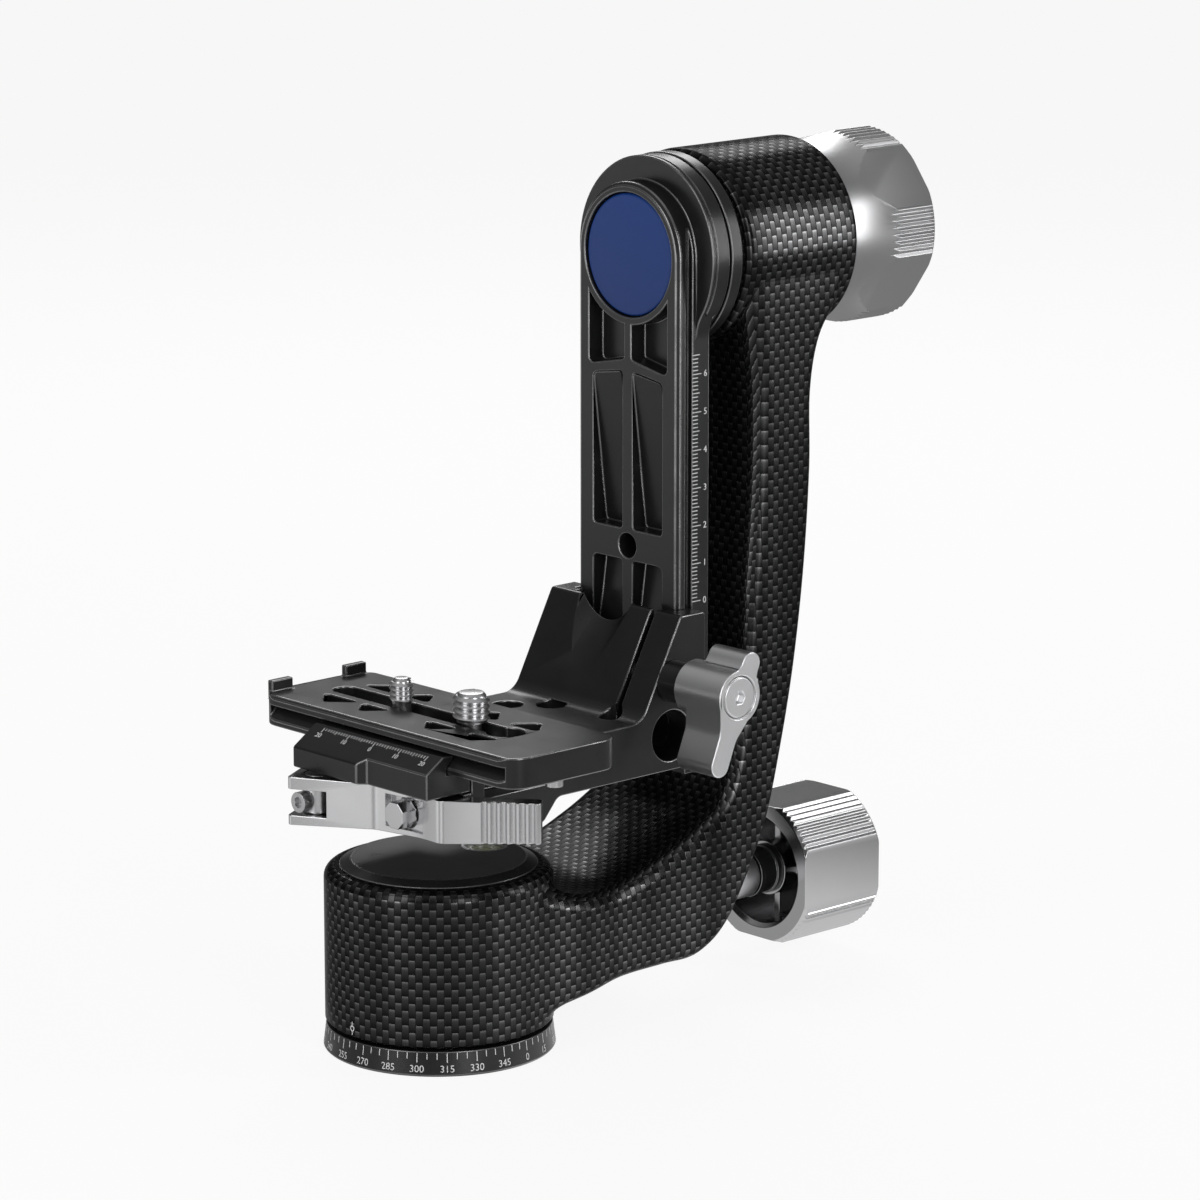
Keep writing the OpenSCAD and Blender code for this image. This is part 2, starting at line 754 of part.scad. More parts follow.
module base_screw(gap) {
    head_h = base_head_r - base_screw_r;
    translate([0, 0, 0.2])
        cylinder(r1 = base_head_r + gap, r2 = base_screw_r + gap, h = head_h);
    translate([0, 0, 0.2])
        cylinder(r = base_screw_r + gap, h = flange_top - 0.6 + gap);
}

module base_ring() {
    top_r = base_r - base_lean;
    color("#1b1b1d")
        difference() {
            rotate_extrude()
                polygon([
                    [bush_r + seat, 0], [base_r - base_edge, 0], [base_r, base_edge],
                    [top_r, base_h], [flange_r + seat, base_h], [flange_r + seat, floor_t],
                    [bush_r + seat, floor_t]
                ]);
            base_screw_spots()
                base_screw(seat);
            base_screw_spots()
                translate([0, 0, -cut])
                    cylinder(r = base_head_r + seat, h = 0.2 + cut);
        }
}

module tripod_bush() {
    color("#a9abad")
        difference() {
            union() {
                cylinder(r = bush_r, h = bush_h);
                translate([0, 0, floor_t])
                    cylinder(r = bush_collar_r, h = bush_collar_t);
            }
            translate([0, 0, -cut])
                cylinder(r = tripod_r, h = tripod_depth + cut);
        }
}

module pan_spindle() {
    collar_top = floor_t + bush_collar_t + seat;
    color("#8f9194")
        difference() {
            rotate_extrude()
                polygon([
                    [bush_collar_r + seat, floor_t], [flange_r, floor_t], [flange_r, flange_top],
                    [shoulder_r, flange_top], [shoulder_r, lower_bearing_z - 0.1],
                    [spindle_r, lower_bearing_z - 0.1], [spindle_r, upper_bearing_top],
                    [spindle_top_r, upper_bearing_top], [spindle_top_r, spindle_top],
                    [0, spindle_top], [0, bush_h + seat], [bush_r + seat, bush_h + seat],
                    [bush_r + seat, collar_top], [bush_collar_r + seat, collar_top]
                ]);
            base_screw_spots()
                base_screw(seat);
        }
}

module base_screws() {
    color("#3a3b3d")
        base_screw_spots()
            difference() {
                base_screw(0);
                cylinder(r = base_screw_r * 0.6, h = 1.4, $fn = 6);
            }
}

module spindle_nut() {
    color("#77797c")
        translate([0, 0, spindle_nut_z])
            difference() {
                tube(spindle_nut_r, spindle_top_r + seat, spindle_nut_h);
                for (a = [45:90:315])
                    rotate([0, 0, a])
                        translate([spindle_nut_r - 1.5, -1.5, -cut])
                            cube([3, 3, spindle_nut_h + 2 * cut]);
            }
}

module arm_loft() {
    rows = arm_rows();
    n = 4 * (arm_corner_steps + 1);
    last = len(rows) - 1;
    points = [for (s = rows) each arm_section(s)];
    sides = [for (i = [0:last - 1], k = [0:n - 1])
        let (a = i * n + k)
        let (b = i * n + (k + 1) % n)
        each [[a, a + n, b], [b, a + n, b + n]]];
    ends = [[for (k = [0:n - 1]) k], [for (k = [n - 1:-1:0]) last * n + k]];
    polyhedron(points = points, faces = concat(sides, ends), convexity = 10);
}

module cup_solid() {
    edge = 0.6;
    rotate_extrude()
        polygon(rounded([
            [0, cup_low, 0], [cup_r - edge, cup_low, 0], [cup_r, cup_low + edge, 0],
            [cup_r, cup_top, cup_round], [0, cup_top, 0]
        ]));
}

module hub_solid() {
    along_x(hub_x, tilt_z)
        rotate_extrude()
            polygon(rounded([
                [0, 0, 0], [hub_r, 0, hub_round], [hub_r, hub_len, hub_round], [0, hub_len, 0]
            ]));
}

module arm_cup() {
    color("#222427")
        difference() {
            union() {
                cup_solid();
                difference() {
                    arm_loft();
                    translate([root_x, -2 * hub_r, 0])
                        cube([2 * hub_end, 4 * hub_r, 2 * tilt_z]);
                }
            }
            translate([0, 0, cup_low - cut])
                cylinder(r = cup_bore_r, h = cup_top - cup_low + 2 * cut);
            rod_x(rod_r + slide + 0.1, 0, stud_bush_x + cut, 0, lock_z);
        }
}

module carbon_arm() {
    color("#222427")
        difference() {
            intersection() {
                arm_loft();
                translate([root_x + seat, -2 * hub_r, 0])
                    cube([2 * hub_end, 4 * hub_r, neck_z - seat]);
            }
            rod_x(rod_r + slide + 0.1, 0, stud_bush_x + cut, 0, lock_z);
            rod_x(stud_bush_r + seat, stud_bush_x, stud_bush_end, 0, lock_z);
        }
}

module arm_hub() {
    color("#222427")
        difference() {
            union() {
                hub_solid();
                intersection() {
                    arm_loft();
                    translate([0, -2 * hub_r, neck_z])
                        cube([2 * hub_end, 4 * hub_r, tilt_z]);
                }
            }
            rod_x(hub_bore_r, hub_x - cut, hub_end + cut, 0, tilt_z);
        }
}

module pan_housing() {
    color("#6d6f72")
        difference() {
            rotate_extrude()
                polygon([
                    [pan_bearing_r + seat, housing_low], [housing_r, housing_low],
                    [housing_r, housing_top], [pan_bearing_r + seat, housing_top],
                    [pan_bearing_r + seat, upper_bearing_z], [housing_bore_r, upper_bearing_z],
                    [housing_bore_r, lower_bearing_top], [pan_bearing_r + seat, lower_bearing_top]
                ]);
            rod_x(shoe_r + slide, 0, housing_r + cut, 0, lock_z);
        }
}

module pan_bearing(z) {
    race = 2.2;
    mid_r = (spindle_r + pan_bearing_r) / 2;
    color("#b9bbbd")
        translate([0, 0, z])
            difference() {
                tube(pan_bearing_r, spindle_r + run, pan_bearing_w);
                for (side = [-cut, pan_bearing_w - 0.6])
                    translate([0, 0, side])
                        tube(mid_r + race / 2, mid_r - race / 2, 0.6 + cut);
            }
}

module pan_bearing_lower() {
    pan_bearing(lower_bearing_z);
}

module pan_bearing_upper() {
    pan_bearing(upper_bearing_z);
}

module top_cap() {
    color("#1d1d1f")
        difference() {
            rotate_extrude()
                polygon([
                    [0, cap_low], [housing_r - 0.1, cap_low], [housing_r - 0.1, cup_top],
                    [cap_r, cup_top], [cap_r, cup_top + cap_edge], [cap_flat_r, cap_top],
                    [0, cap_top]
                ]);
            translate([level_x, 0, level_low])
                cylinder(r = level_r + seat, h = level_h + cut);
        }
}

module level_cup() {
    color("#8f9499")
        translate([level_x, 0, level_low])
            difference() {
                cylinder(r = level_r, h = level_h - 0.1);
                translate([0, 0, level_wall])
                    cylinder(r = level_r - level_wall, h = level_h);
            }
}

module level_fluid() {
    fluid_low = level_low + level_wall;
    color("#c9e02a")
        translate([level_x, 0, fluid_low])
            cylinder(r = level_r - level_wall - seat, h = level_h - level_wall - level_lens_t - 0.2);
}

module level_lens() {
    color("#e4f2ee")
        translate([level_x, 0, cap_top - level_lens_t - 0.2])
            cylinder(r = level_r - level_wall - seat, h = level_lens_t);
}

module tilt_housing() {
    front_wall_r = tilt_bore_r;
    color("#6d6f72")
        along_x(hub_x, tilt_z)
            rotate_extrude()
                polygon([
                    [front_wall_r, 0], [tilt_housing_r, 0], [tilt_housing_r, tilt_housing_len],
                    [tilt_bearing_r + seat, tilt_housing_len],
                    [tilt_bearing_r + seat, rear_bearing_x - hub_x],
                    [tilt_bore_r, rear_bearing_x - hub_x],
                    [tilt_bore_r, front_bearing_x + tilt_bearing_w - hub_x],
                    [tilt_bearing_r + seat, front_bearing_x + tilt_bearing_w - hub_x],
                    [tilt_bearing_r + seat, bearing_inset], [front_wall_r, bearing_inset]
                ]);
}

module hub_ring() {
    color("#17181a")
        along_x(ring_x, tilt_z)
            difference() {
                union() {
                    cylinder(r = ring_r, h = ring_w);
                    cylinder(r = ring_neck_r, h = hub_x - ring_x);
                }
                translate([0, 0, -cut])
                    cylinder(r = axle_r + 1, h = hub_x - ring_x + 2 * cut);
            }
}

module tilt_bearing(x) {
    race = 1.8;
    mid_r = (axle_r + tilt_bearing_r) / 2;
    color("#b9bbbd")
        along_x(x, tilt_z)
            difference() {
                tube(tilt_bearing_r, axle_r + run, tilt_bearing_w);
                for (side = [-cut, tilt_bearing_w - 0.6])
                    translate([0, 0, side])
                        tube(mid_r + race / 2, mid_r - race / 2, 0.6 + cut);
            }
}

module tilt_bearing_front() {
    tilt_bearing(front_bearing_x);
}

module tilt_bearing_rear() {
    tilt_bearing(rear_bearing_x);
}

module friction_washer() {
    color("#8a6a3a")
        along_x(washer_x, tilt_z)
            tube(washer_r, axle_r + 1, washer_t);
}

module stud_bush() {
    color("#9b9da0")
        along_x(stud_bush_x, lock_z)
            tube(stud_bush_r, stud_r + run, stud_bush_end - stud_bush_x);
}

module pan_knob() {
    body_len = pan_knob_len;
    color("#c4c6c8")
        difference() {
            intersection() {
                along_x(pan_knob_x, lock_z)
                    rotate([0, 0, 45])
                        linear_extrude(height = body_len)
                            polygon(knob_outline(pan_knob_r, 4, pan_rib_half, pan_ribs, pan_knob_flat));
                along_x(pan_knob_x, lock_z)
                    rotate_extrude()
                        polygon([
                            [0, 0], [pan_knob_r - pan_rim, 0], [pan_knob_r + 0.1, pan_rim + 0.1],
                            [pan_knob_r + 0.1, body_len - pan_rim - 0.1],
                            [pan_knob_r - pan_rim, body_len], [0, body_len]
                        ]);
            }
            difference() {
                union() {
                    rod_x(pan_hollow_r, pan_knob_x - cut, hollow_x, 0, lock_z);
                    along_x(pan_knob_x - 0.01, lock_z)
                        cylinder(r1 = pan_hollow_r + pan_rim, r2 = pan_hollow_r, h = pan_rim);
                }
                rod_x(pan_boss_r, boss_x, hollow_x + cut, 0, lock_z);
                translate([pan_knob_x + spoke_inset, -pan_knob_r, lock_z - spoke_t / 2])
                    cube([pan_hollow_d, 2 * pan_knob_r, spoke_t]);
                translate([pan_knob_x + spoke_inset, -spoke_t / 2, lock_z - pan_knob_r])
                    cube([pan_hollow_d, spoke_t, 2 * pan_knob_r]);
            }
            rod_x(stud_r + seat, boss_x - cut, hollow_x + 2, 0, lock_z);
        }
}

module pan_stud() {
    color("#8d8f92")
        rod_x(stud_r, stud_x, hollow_x + 2 - seat, 0, lock_z);
}

module stud_collar() {
    bead = 1.6;
    color("#151517")
        along_x(collar_x, lock_z)
            difference() {
                union() {
                    cylinder(r = collar_r - 0.5, h = boss_x - collar_x);
                    cylinder(r = collar_r, h = bead);
                    translate([0, 0, boss_x - collar_x - bead])
                        cylinder(r = collar_r, h = bead);
                }
                translate([0, 0, -cut])
                    cylinder(r = stud_r + seat, h = boss_x - collar_x + 2 * cut);
            }
}

module brake_rod() {
    color("#8d8f92")
        rod_x(rod_r, shoe_x, rod_end, 0, lock_z);
}

module brake_shoe() {
    color("#7a5a34")
        difference() {
            rod_x(shoe_r, spindle_r - 3, shoe_x, 0, lock_z);
            translate([0, 0, lock_z - shoe_r - cut])
                cylinder(r = spindle_r + brake_gap, h = 2 * (shoe_r + cut));
        }
}

module rail_bar() {
    linear_extrude(height = tilt_z - rail_foot)
        polygon([
            [rail_x, -rail_half_w + rail_edge], [rail_x + rail_edge, -rail_half_w],
            [rail_back_x, -rail_half_w], [rail_back_x, rail_half_w],
            [rail_x + rail_edge, rail_half_w], [rail_x, rail_half_w - rail_edge]
        ]);
}

module rail_top() {
    along_x(rail_x, tilt_z)
        rotate_extrude()
            polygon([
                [0, 0], [rail_half_w - rail_edge, 0], [rail_half_w, rail_edge],
                [rail_half_w, rail_flange_x - rail_x + cut], [0, rail_flange_x - rail_x + cut]
            ]);
}

module rail_flange() {
    fine = 0.35;
    rod_x(rail_flange_r, rail_flange_x, rail_flange_x + 1.2, 0, tilt_z);
    rod_x(rail_flange_r - fine, rail_flange_x, rail_flange_back, 0, tilt_z);
    rod_x(rail_flange_r, rail_flange_x + 1.2 + fine, rail_flange_back, 0, tilt_z);
}

module rail_sweeps() {
    far_y = rail_half_w + rail_sweep_r;
    reach = rail_flange_r + rail_sweep_r;
    drop = sqrt(reach * reach - far_y * far_y);
    touch = rail_flange_r / reach;
    difference() {
        for (s = [-1, 1])
            pulled_x([
                [0, tilt_z - drop], [s * rail_half_w, tilt_z - drop],
                [s * far_y * touch, tilt_z - drop * touch], [0, tilt_z]
            ], rail_flange_x, rail_back_x);
        for (s = [-1, 1])
            rod_x(rail_sweep_r, rail_flange_x - cut, rail_back_x + cut, s * far_y, tilt_z - drop);
    }
}

// One of a pair of pockets whose floor is a ramp, deepest at one end
module rail_pocket(low, high, rise, deep_z, face_z) {
    intersection() {
        pulled_x(rounded([
            [pocket_in, low, 1], [pocket_out, low, 1], [pocket_out, high, 1.5],
            [pocket_in, high + rise, 1]
        ]), rail_x - cut, pocket_back_x + cut);
        pulled_y([
            [rail_x - cut, deep_z], [pocket_back_x, deep_z], [rail_x, face_z], [rail_x - cut, face_z]
        ], 0, rail_half_w);
    }
}

module rail_window() {
    low = tilt_z - window_drop;
    difference() {
        pulled_x(rounded([
            [window_in, low + window_rise, 1], [window_out, low, 1.5],
            [window_out, tilt_z - 8, 0], [window_in, tilt_z - 8, 0]
        ]), rail_x - cut, pocket_back_x);
        rod_x(window_arc_r, rail_x - 2 * cut, rail_flange_x, 0, tilt_z);
    }
}

module axle_bolt_spots() {
    for (i = [0:axle_bolt_count - 1])
        along_x(axle_head_x, tilt_z)
            rotate([0, 0, 360 / axle_bolt_count * (i + 0.5)])
                translate([axle_bolt_ring, 0, 0])
                    children();
}

module axle_bolt(gap) {
    translate([0, 0, 0.2 - gap])
        cylinder(r = axle_bolt_head_r + gap, h = axle_bolt_head_h + gap);
    cylinder(r = axle_bolt_r + gap, h = axle_bolt_len + gap);
}

module swing_rail() {
    color("#1c1d1f")
        difference() {
            union() {
                translate([0, 0, rail_foot])
                    rail_bar();
                rail_top();
                rail_flange();
                rail_sweeps();
            }
            for (s = [-1, 1])
                translate([0, 0, rail_foot - cut])
                    linear_extrude(height = tilt_z + groove_over - rail_foot)
                        polygon([
                            [groove_x, s * rail_half_w], [groove_x - cut, s * (rail_half_w + cut)],
                            [groove_back_x, s * (rail_half_w + cut)],
                            [groove_back_x, s * (rail_half_w - groove_d)],
                            [groove_x + groove_d, s * (rail_half_w - groove_d)]
                        ]);
            for (m = [0, 1])
                mirror([0, m, 0]) {
                    rail_pocket(pocket_low, pocket_high, pocket_rise,
                        pocket_low - cut, pocket_high + pocket_rise);
                    rail_pocket(low_pocket_low, low_pocket_high, 0, low_pocket_high + cut, low_pocket_low);
                    rail_window();
                }
            rod_x(rail_hole_r, rail_x - cut, rail_back_x + cut, 0, rail_hole_z);
            rod_x(badge_r + 0.3, rail_x - cut, badge_back_x, 0, tilt_z);
            rod_x(axle_head_r + seat, badge_back_x - cut, axle_step_x, 0, tilt_z);
            rod_x(axle_r + seat, axle_step_x - cut, rail_flange_back + cut, 0, tilt_z);
            axle_bolt_spots()
                axle_bolt(seat);
            for (s = [-1, 1])
                translate([stop_screw_x, s * stop_screw_y, rail_foot - cut])
                    cylinder(r = stop_screw_r + seat, h = stop_screw_len + 2 * cut);
        }
}

module badge() {
    color("#1f5fc4")
        rod_x(badge_r, badge_x, badge_back_x, 0, tilt_z);
}

module tilt_axle() {
    color("#a4a6a9")
        difference() {
            union() {
                rod_x(axle_head_r, axle_head_x, axle_step_x, 0, tilt_z);
                rod_x(axle_r, axle_head_x, washer_x + washer_t, 0, tilt_z);
                rod_x(axle_end_r, axle_head_x, axle_end_x, 0, tilt_z);
            }
            rod_x(axle_screw_r + seat, axle_end_x - 14, axle_end_x + cut, 0, tilt_z);
            axle_bolt_spots()
                axle_bolt(seat);
            axle_bolt_spots()
                translate([0, 0, -cut])
                    cylinder(r = axle_bolt_head_r + seat, h = 1 + cut);
        }
}

module axle_bolts() {
    color("#3a3b3d")
        axle_bolt_spots()
            difference() {
                axle_bolt(0);
                translate([0, 0, -cut])
                    cylinder(r = axle_bolt_head_r + cut, h = 0.2 + cut);
                cylinder(r = axle_bolt_r * 0.7, h = 1.2, $fn = 6);
            }
}

module axle_washer() {
    color("#9b9da0")
        along_x(axle_end_x, tilt_z)
            tube(axle_washer_r, axle_screw_r + seat, axle_washer_t);
}

module axle_screw() {
    color("#3a3b3d")
        difference() {
            union() {
                rod_x(axle_screw_r, axle_end_x - 13, axle_screw_x, 0, tilt_z);
                rod_x(axle_screw_head_r, axle_screw_x, axle_screw_x + axle_screw_head_h, 0, tilt_z);
            }
            along_x(axle_screw_x + axle_screw_head_h - 2.5, tilt_z)
                cylinder(r = axle_screw_r, h = 2.5 + cut, $fn = 6);
        }
}

module stop_screw_shape(gap) {
    cylinder(r1 = stop_screw_r * 2 + gap, r2 = stop_screw_r + gap, h = stop_screw_r);
    cylinder(r = stop_screw_r + gap, h = stop_t + stop_screw_len);
}

module rail_end_stop() {
    color("#2a2b2d")
        difference() {
            translate([rail_x, -stop_half_w, stop_low])
                cube([rail_back_x - rail_x, 2 * stop_half_w, stop_t]);
            for (s = [-1, 1])
                translate([stop_screw_x, s * stop_screw_y, stop_low]) {
                    stop_screw_shape(seat);
                    translate([0, 0, -cut])
                        cylinder(r = stop_screw_r * 2 + seat, h = cut + 0.01);
                }
        }
}

module rail_end_screws() {
    color("#3a3b3d")
        for (s = [-1, 1])
            translate([stop_screw_x, s * stop_screw_y, stop_low])
                difference() {
                    stop_screw_shape(0);
                    translate([0, 0, -cut])
                        cylinder(r = stop_screw_r * 0.7, h = 1 + cut, $fn = 6);
                }
}

module tilt_knob() {
    neck = tilt_crown_x - knob_face_x;
    flare = tilt_knob_r - tilt_neck_r;
    whole = tilt_knob_end - knob_boss_x;
    face = knob_face_x - knob_boss_x;
    color("#c4c6c8")
        difference() {
            intersection() {
                along_x(knob_boss_x, tilt_z)
                    rotate([0, 0, -90 - tilt_knob_turn])
                        linear_extrude(height = whole)
                            polygon(knob_outline(tilt_knob_r, 5, tilt_rib_half, tilt_ribs, tilt_knob_flat));
                along_x(knob_boss_x, tilt_z)
                    rotate_extrude()
                        polygon(concat(
                            [[0, 0], [washer_r - 0.5, 0], [washer_r - 0.5, face]],
                            [for (i = [0:8]) [tilt_neck_r + flare * i * i / 64, face + neck * i / 8]],
                            [[tilt_knob_r + 0.1, face + neck + 0.1],
                                [tilt_knob_r + 0.1, whole - tilt_rim - 0.1],
                                [tilt_knob_r - tilt_rim, whole], [0, whole]]));
            }
            rod_x(insert_r + seat, knob_boss_x - cut, recess_x + cut, 0, tilt_z);
            rod_x(knob_recess_r, recess_x, tilt_knob_end + cut, 0, tilt_z);
        }
}

module knob_insert() {
    color("#b99a4a")
        along_x(knob_boss_x, tilt_z)
            tube(insert_r, axle_end_r + run, recess_x - knob_boss_x);
}

module bracket_body() {
    pulled_y(rounded([
        [bracket_back_x, bracket_low, 0.6], [bracket_back_x, bracket_top, top_round],
        [bracket_top_x, bracket_top, top_round], [slope_foot_x, platform_z, slope_round],
        [lip_x + 8.5, platform_z, 1], [lip_x + 5.5, nose_z, 1], [nose_x, nose_z, 0],
        [nose_x, nose_low, 0], [lip_x, lip_top, 0], [lip_x, bed_top, 0], [bed_step_x, bed_top, 0],
        [bed_step_x, jaw_low - 0.3, 0], [bed_front_x, jaw_low - 0.3, 0], [bed_front_x, bed_low, 1],
        [bed_back_x, bed_low, 2], [bed_back_x + 5, bracket_low, 3]
    ]), -bracket_half_w, bracket_half_w);
}

module rail_channel() {
    side = rail_half_w + slide;
    tip = groove_x + groove_d;
    translate([0, 0, bracket_low - cut])
        linear_extrude(height = bracket_top - bracket_low + 2 * cut)
            polygon([
                [channel_x, -side], [groove_x - 0.1, -side], [tip - 0.1, -side + groove_d],
                [bracket_back_x + cut, -side + groove_d], [bracket_back_x + cut, side - groove_d],
                [tip - 0.1, side - groove_d], [groove_x - 0.1, side], [channel_x, side],
                [channel_x, relief_half_w], [relief_x, relief_half_w], [relief_x, -relief_half_w],
                [channel_x, -relief_half_w]
            ]);
}

module scoop() {
    lift = [-sin(scoop_tilt) * scoop_r, 0, cos(scoop_tilt) * scoop_r];
    translate([scoop_x, scoop_y, scoop_z] + lift)
        rotate([0, 90 - scoop_tilt, 0])
            translate([0, 0, -3])
                cylinder(r = scoop_r, h = 40);
}

module platform_bracket() {
    recess_x0 = -6;
    recess_x1 = bed_back_x + 3;
    recess_w = bracket_half_w - stop_recess_y;
    color("#1c1d1f")
        difference() {
            bracket_body();
            rail_channel();
            scoop();
            translate([slit_x, slit_y - slit_w / 2, slit_z])
                cube([bracket_back_x - slit_x + cut, slit_w, bracket_top - slit_z + cut]);
            translate([slit_x, slit_y, slit_z])
                cylinder(r = slit_end_r, h = bracket_top - slit_z);
            rod_y(cross_r, -bracket_half_w - cut, slit_y + slit_w / 2 + 4, cross_x, cross_z);
            rod_y(wing_bolt_r + slide, -bracket_half_w - cut, wing_nut_y + cut, wing_x, wing_z);
            rod_y(wing_nut_r + seat, wing_nut_y, bracket_half_w + cut, wing_x, wing_z);
            for (p = [[44.8, 6], [36.6, 14]])
                translate([p.x, p.y, platform_z - platform_hole_d])
                    cylinder(r = platform_hole_r, h = platform_hole_d + cut);
            for (s = [-1, 1])
                translate([recess_x0, s > 0 ? stop_recess_y : -bracket_half_w - cut, stop_recess_z])
                    cube([recess_x1 - recess_x0, recess_w + cut, bed_top - stop_recess_z + cut]);
            for (s = [-1, 1])
                rod_x(jaw_pin_r + seat, bed_step_x - cut, jaw_pin_end + seat, s * jaw_pin_y, jaw_pin_z);
            rod_x(tension_r + seat, bed_front_x - cut, tension_end_x + seat, pivot_y, tension_z);
        }
}

module bracket_nut() {
    color("#8d8f92")
        translate([wing_x, wing_nut_y + wing_nut_t, wing_z])
            rotate([90, 0, 0])
                tube(wing_nut_r, wing_bolt_r + run, wing_nut_t);
}

module lever_pin() {
    foot = lever_fork_low + 0.6;
    color("#c0c2c4")
        difference() {
            translate([pivot_x, pivot_y, 0]) {
                translate([0, 0, foot])
                    cylinder(r = pivot_r, h = lever_top - foot);
                translate([0, 0, fork_low + slide])
                    cylinder(r = barrel_r, h = fork_high - fork_low - 2 * slide);
                translate([0, 0, lever_top - pivot_head_t])
                    cylinder(r = pivot_head_r, h = pivot_head_t);
            }
            rod_x(tension_r + seat, pivot_x - barrel_r - cut, pivot_x + barrel_r + cut, pivot_y, tension_z);
        }
}

module tension_screw() {
    head_back = pivot_x - barrel_r;
    color("#b4b6b8")
        difference() {
            union() {
                rod_x(tension_r, head_back, tension_end_x, pivot_y, tension_z);
                rod_x(tension_head_r, tension_head_x, head_back, pivot_y, tension_z);
            }
            translate([tension_head_x - cut, pivot_y, tension_z])
                rotate([0, 90, 0])
                    cylinder(r = tension_r * 0.75, h = 1.6 + cut, $fn = 6);
        }
}

module jaw_pins() {
    color("#b4b6b8")
        for (s = [-1, 1])
            rod_x(jaw_pin_r, jaw_pin_tip, jaw_pin_end, s * jaw_pin_y, jaw_pin_z);
}

module wing(reach, turn) {
    start = wing_bolt_r / 3;
    root = wing_hub_r * 0.92;
    knee = min(reach - 1.6 * wing_half_t, 1.5 * wing_hub_r);
    tip_round = wing_half_t * 0.98;
    translate([wing_x, -wing_lobe_y, wing_z])
        rotate([90, 0, 0])
            rotate([0, 0, turn])
                linear_extrude(height = wing_end_y - wing_lobe_y)
                    polygon(rounded([
                        [start, -root, 0], [knee, -wing_half_t, wing_fillet],
                        [reach, -wing_half_t, tip_round], [reach, wing_half_t, tip_round],
                        [knee, wing_half_t, wing_fillet], [start, root, 0]
                    ]));
}

module wing_knob() {
    color("#c4c6c8")
        difference() {
            union() {
                rod_y(wing_hub_r, -wing_end_y, -wing_y, wing_x, wing_z);
                wing(wing_short, wing_short_turn);
                wing(wing_long, wing_long_turn);
            }
            rod_y(wing_bolt_r + seat, -wing_end_y + 3, -wing_y + cut, wing_x, wing_z);
            translate([wing_x, -wing_end_y + 2, wing_z])
                rotate([90, 0, 0])
                    cylinder(r = wing_bolt_r * 0.6, h = 2 + cut, $fn = 6);
            difference() {
                rod_y(wing_neck_r + 0.2, -wing_end_y - cut, -wing_end_y + 0.5, wing_x, wing_z);
                rod_y(wing_neck_r - 0.3, -wing_end_y - 2 * cut, -wing_end_y + 1, wing_x, wing_z);
            }
        }
}

module wing_bolt() {
    color("#8d8f92")
        rod_y(wing_bolt_r, -wing_end_y + 3 + seat, wing_nut_y + wing_nut_t - 1, wing_x, wing_z);
}

module wing_washer() {
    color("#17181a")
        difference() {
            rod_y(wing_neck_r, -wing_y, -bracket_half_w - slide, wing_x, wing_z);
            rod_y(wing_bolt_r + seat, -wing_y - cut, -bracket_half_w + cut, wing_x, wing_z);
        }
}

module clamp_jaw() {
    color("#1c1d1f")
        difference() {
            pulled_y(rounded([
                [jaw_front_x, jaw_low, 0.6], [jaw_front_x, jaw_top, 1],
                [-nose_x - 3.4, nose_z, 0.8], [-nose_x, nose_z, 0], [-nose_x, nose_low, 0],
                [-lip_x, lip_top, 0], [-lip_x, bed_top, 0], [jaw_back_x, bed_top, 0],
                [jaw_back_x, jaw_low, 0]
            ]), -jaw_half_w, jaw_half_w);
            translate([0, 0, jaw_low - cut])
                linear_extrude(height = nose_z - jaw_low + 2 * cut)
                    polygon([
                        [jaw_front_x - cut, jaw_step_y + jaw_step], [jaw_front_x, jaw_step_y + jaw_step],
                        [jaw_front_x + jaw_step, jaw_step_y], [jaw_front_x + jaw_step, -jaw_half_w - cut],
                        [jaw_front_x - cut, -jaw_half_w - cut]
                    ]);
            for (s = [-1, 1])
                rod_x(jaw_pin_r + run, jaw_pin_tip - slide, jaw_back_x + cut, s * jaw_pin_y, jaw_pin_z);
        }
}

// Direction of the grip and of its outer side
grip_way = unit([lever_tip_x - lever_face_x + 0.8, lever_tip_y - lever_grip_y]);
grip_side = [-grip_way.y, grip_way.x];
fork_way = unit([-8.6, 2.4]);
fork_side = unit([2.4, 8.5]);

module lever_plan() {
    tip = [lever_tip_x, lever_tip_y];
    heel = [lever_face_x - 0.8, lever_grip_y];
    inner_tip = tip + grip_side * grip_t;
    fork_out = [pivot_x, pivot_y] + fork_way * fork_reach;
    fork_back = [pivot_x, pivot_y] + fork_side * fork_reach;
    linear_extrude(height = lever_top - lever_fork_low)
        polygon(rounded([
            [fork_out.x, fork_out.y, 1.2], [lever_face_x - 1.6, lever_bend_y, 6],
            [lever_face_x, (lever_bend_y + lever_grip_y) / 2 - 3.6, 30], [heel.x, heel.y, 3.5],
            [tip.x, tip.y, 1.4], [inner_tip.x, inner_tip.y, 1.4],
            [lever_back_x, lever_grip_y + grip_t * 0.4, 5],
            [lever_back_x, pivot_y - 4.2, 4], [fork_back.x, fork_back.y, 3.5]
        ]));
}

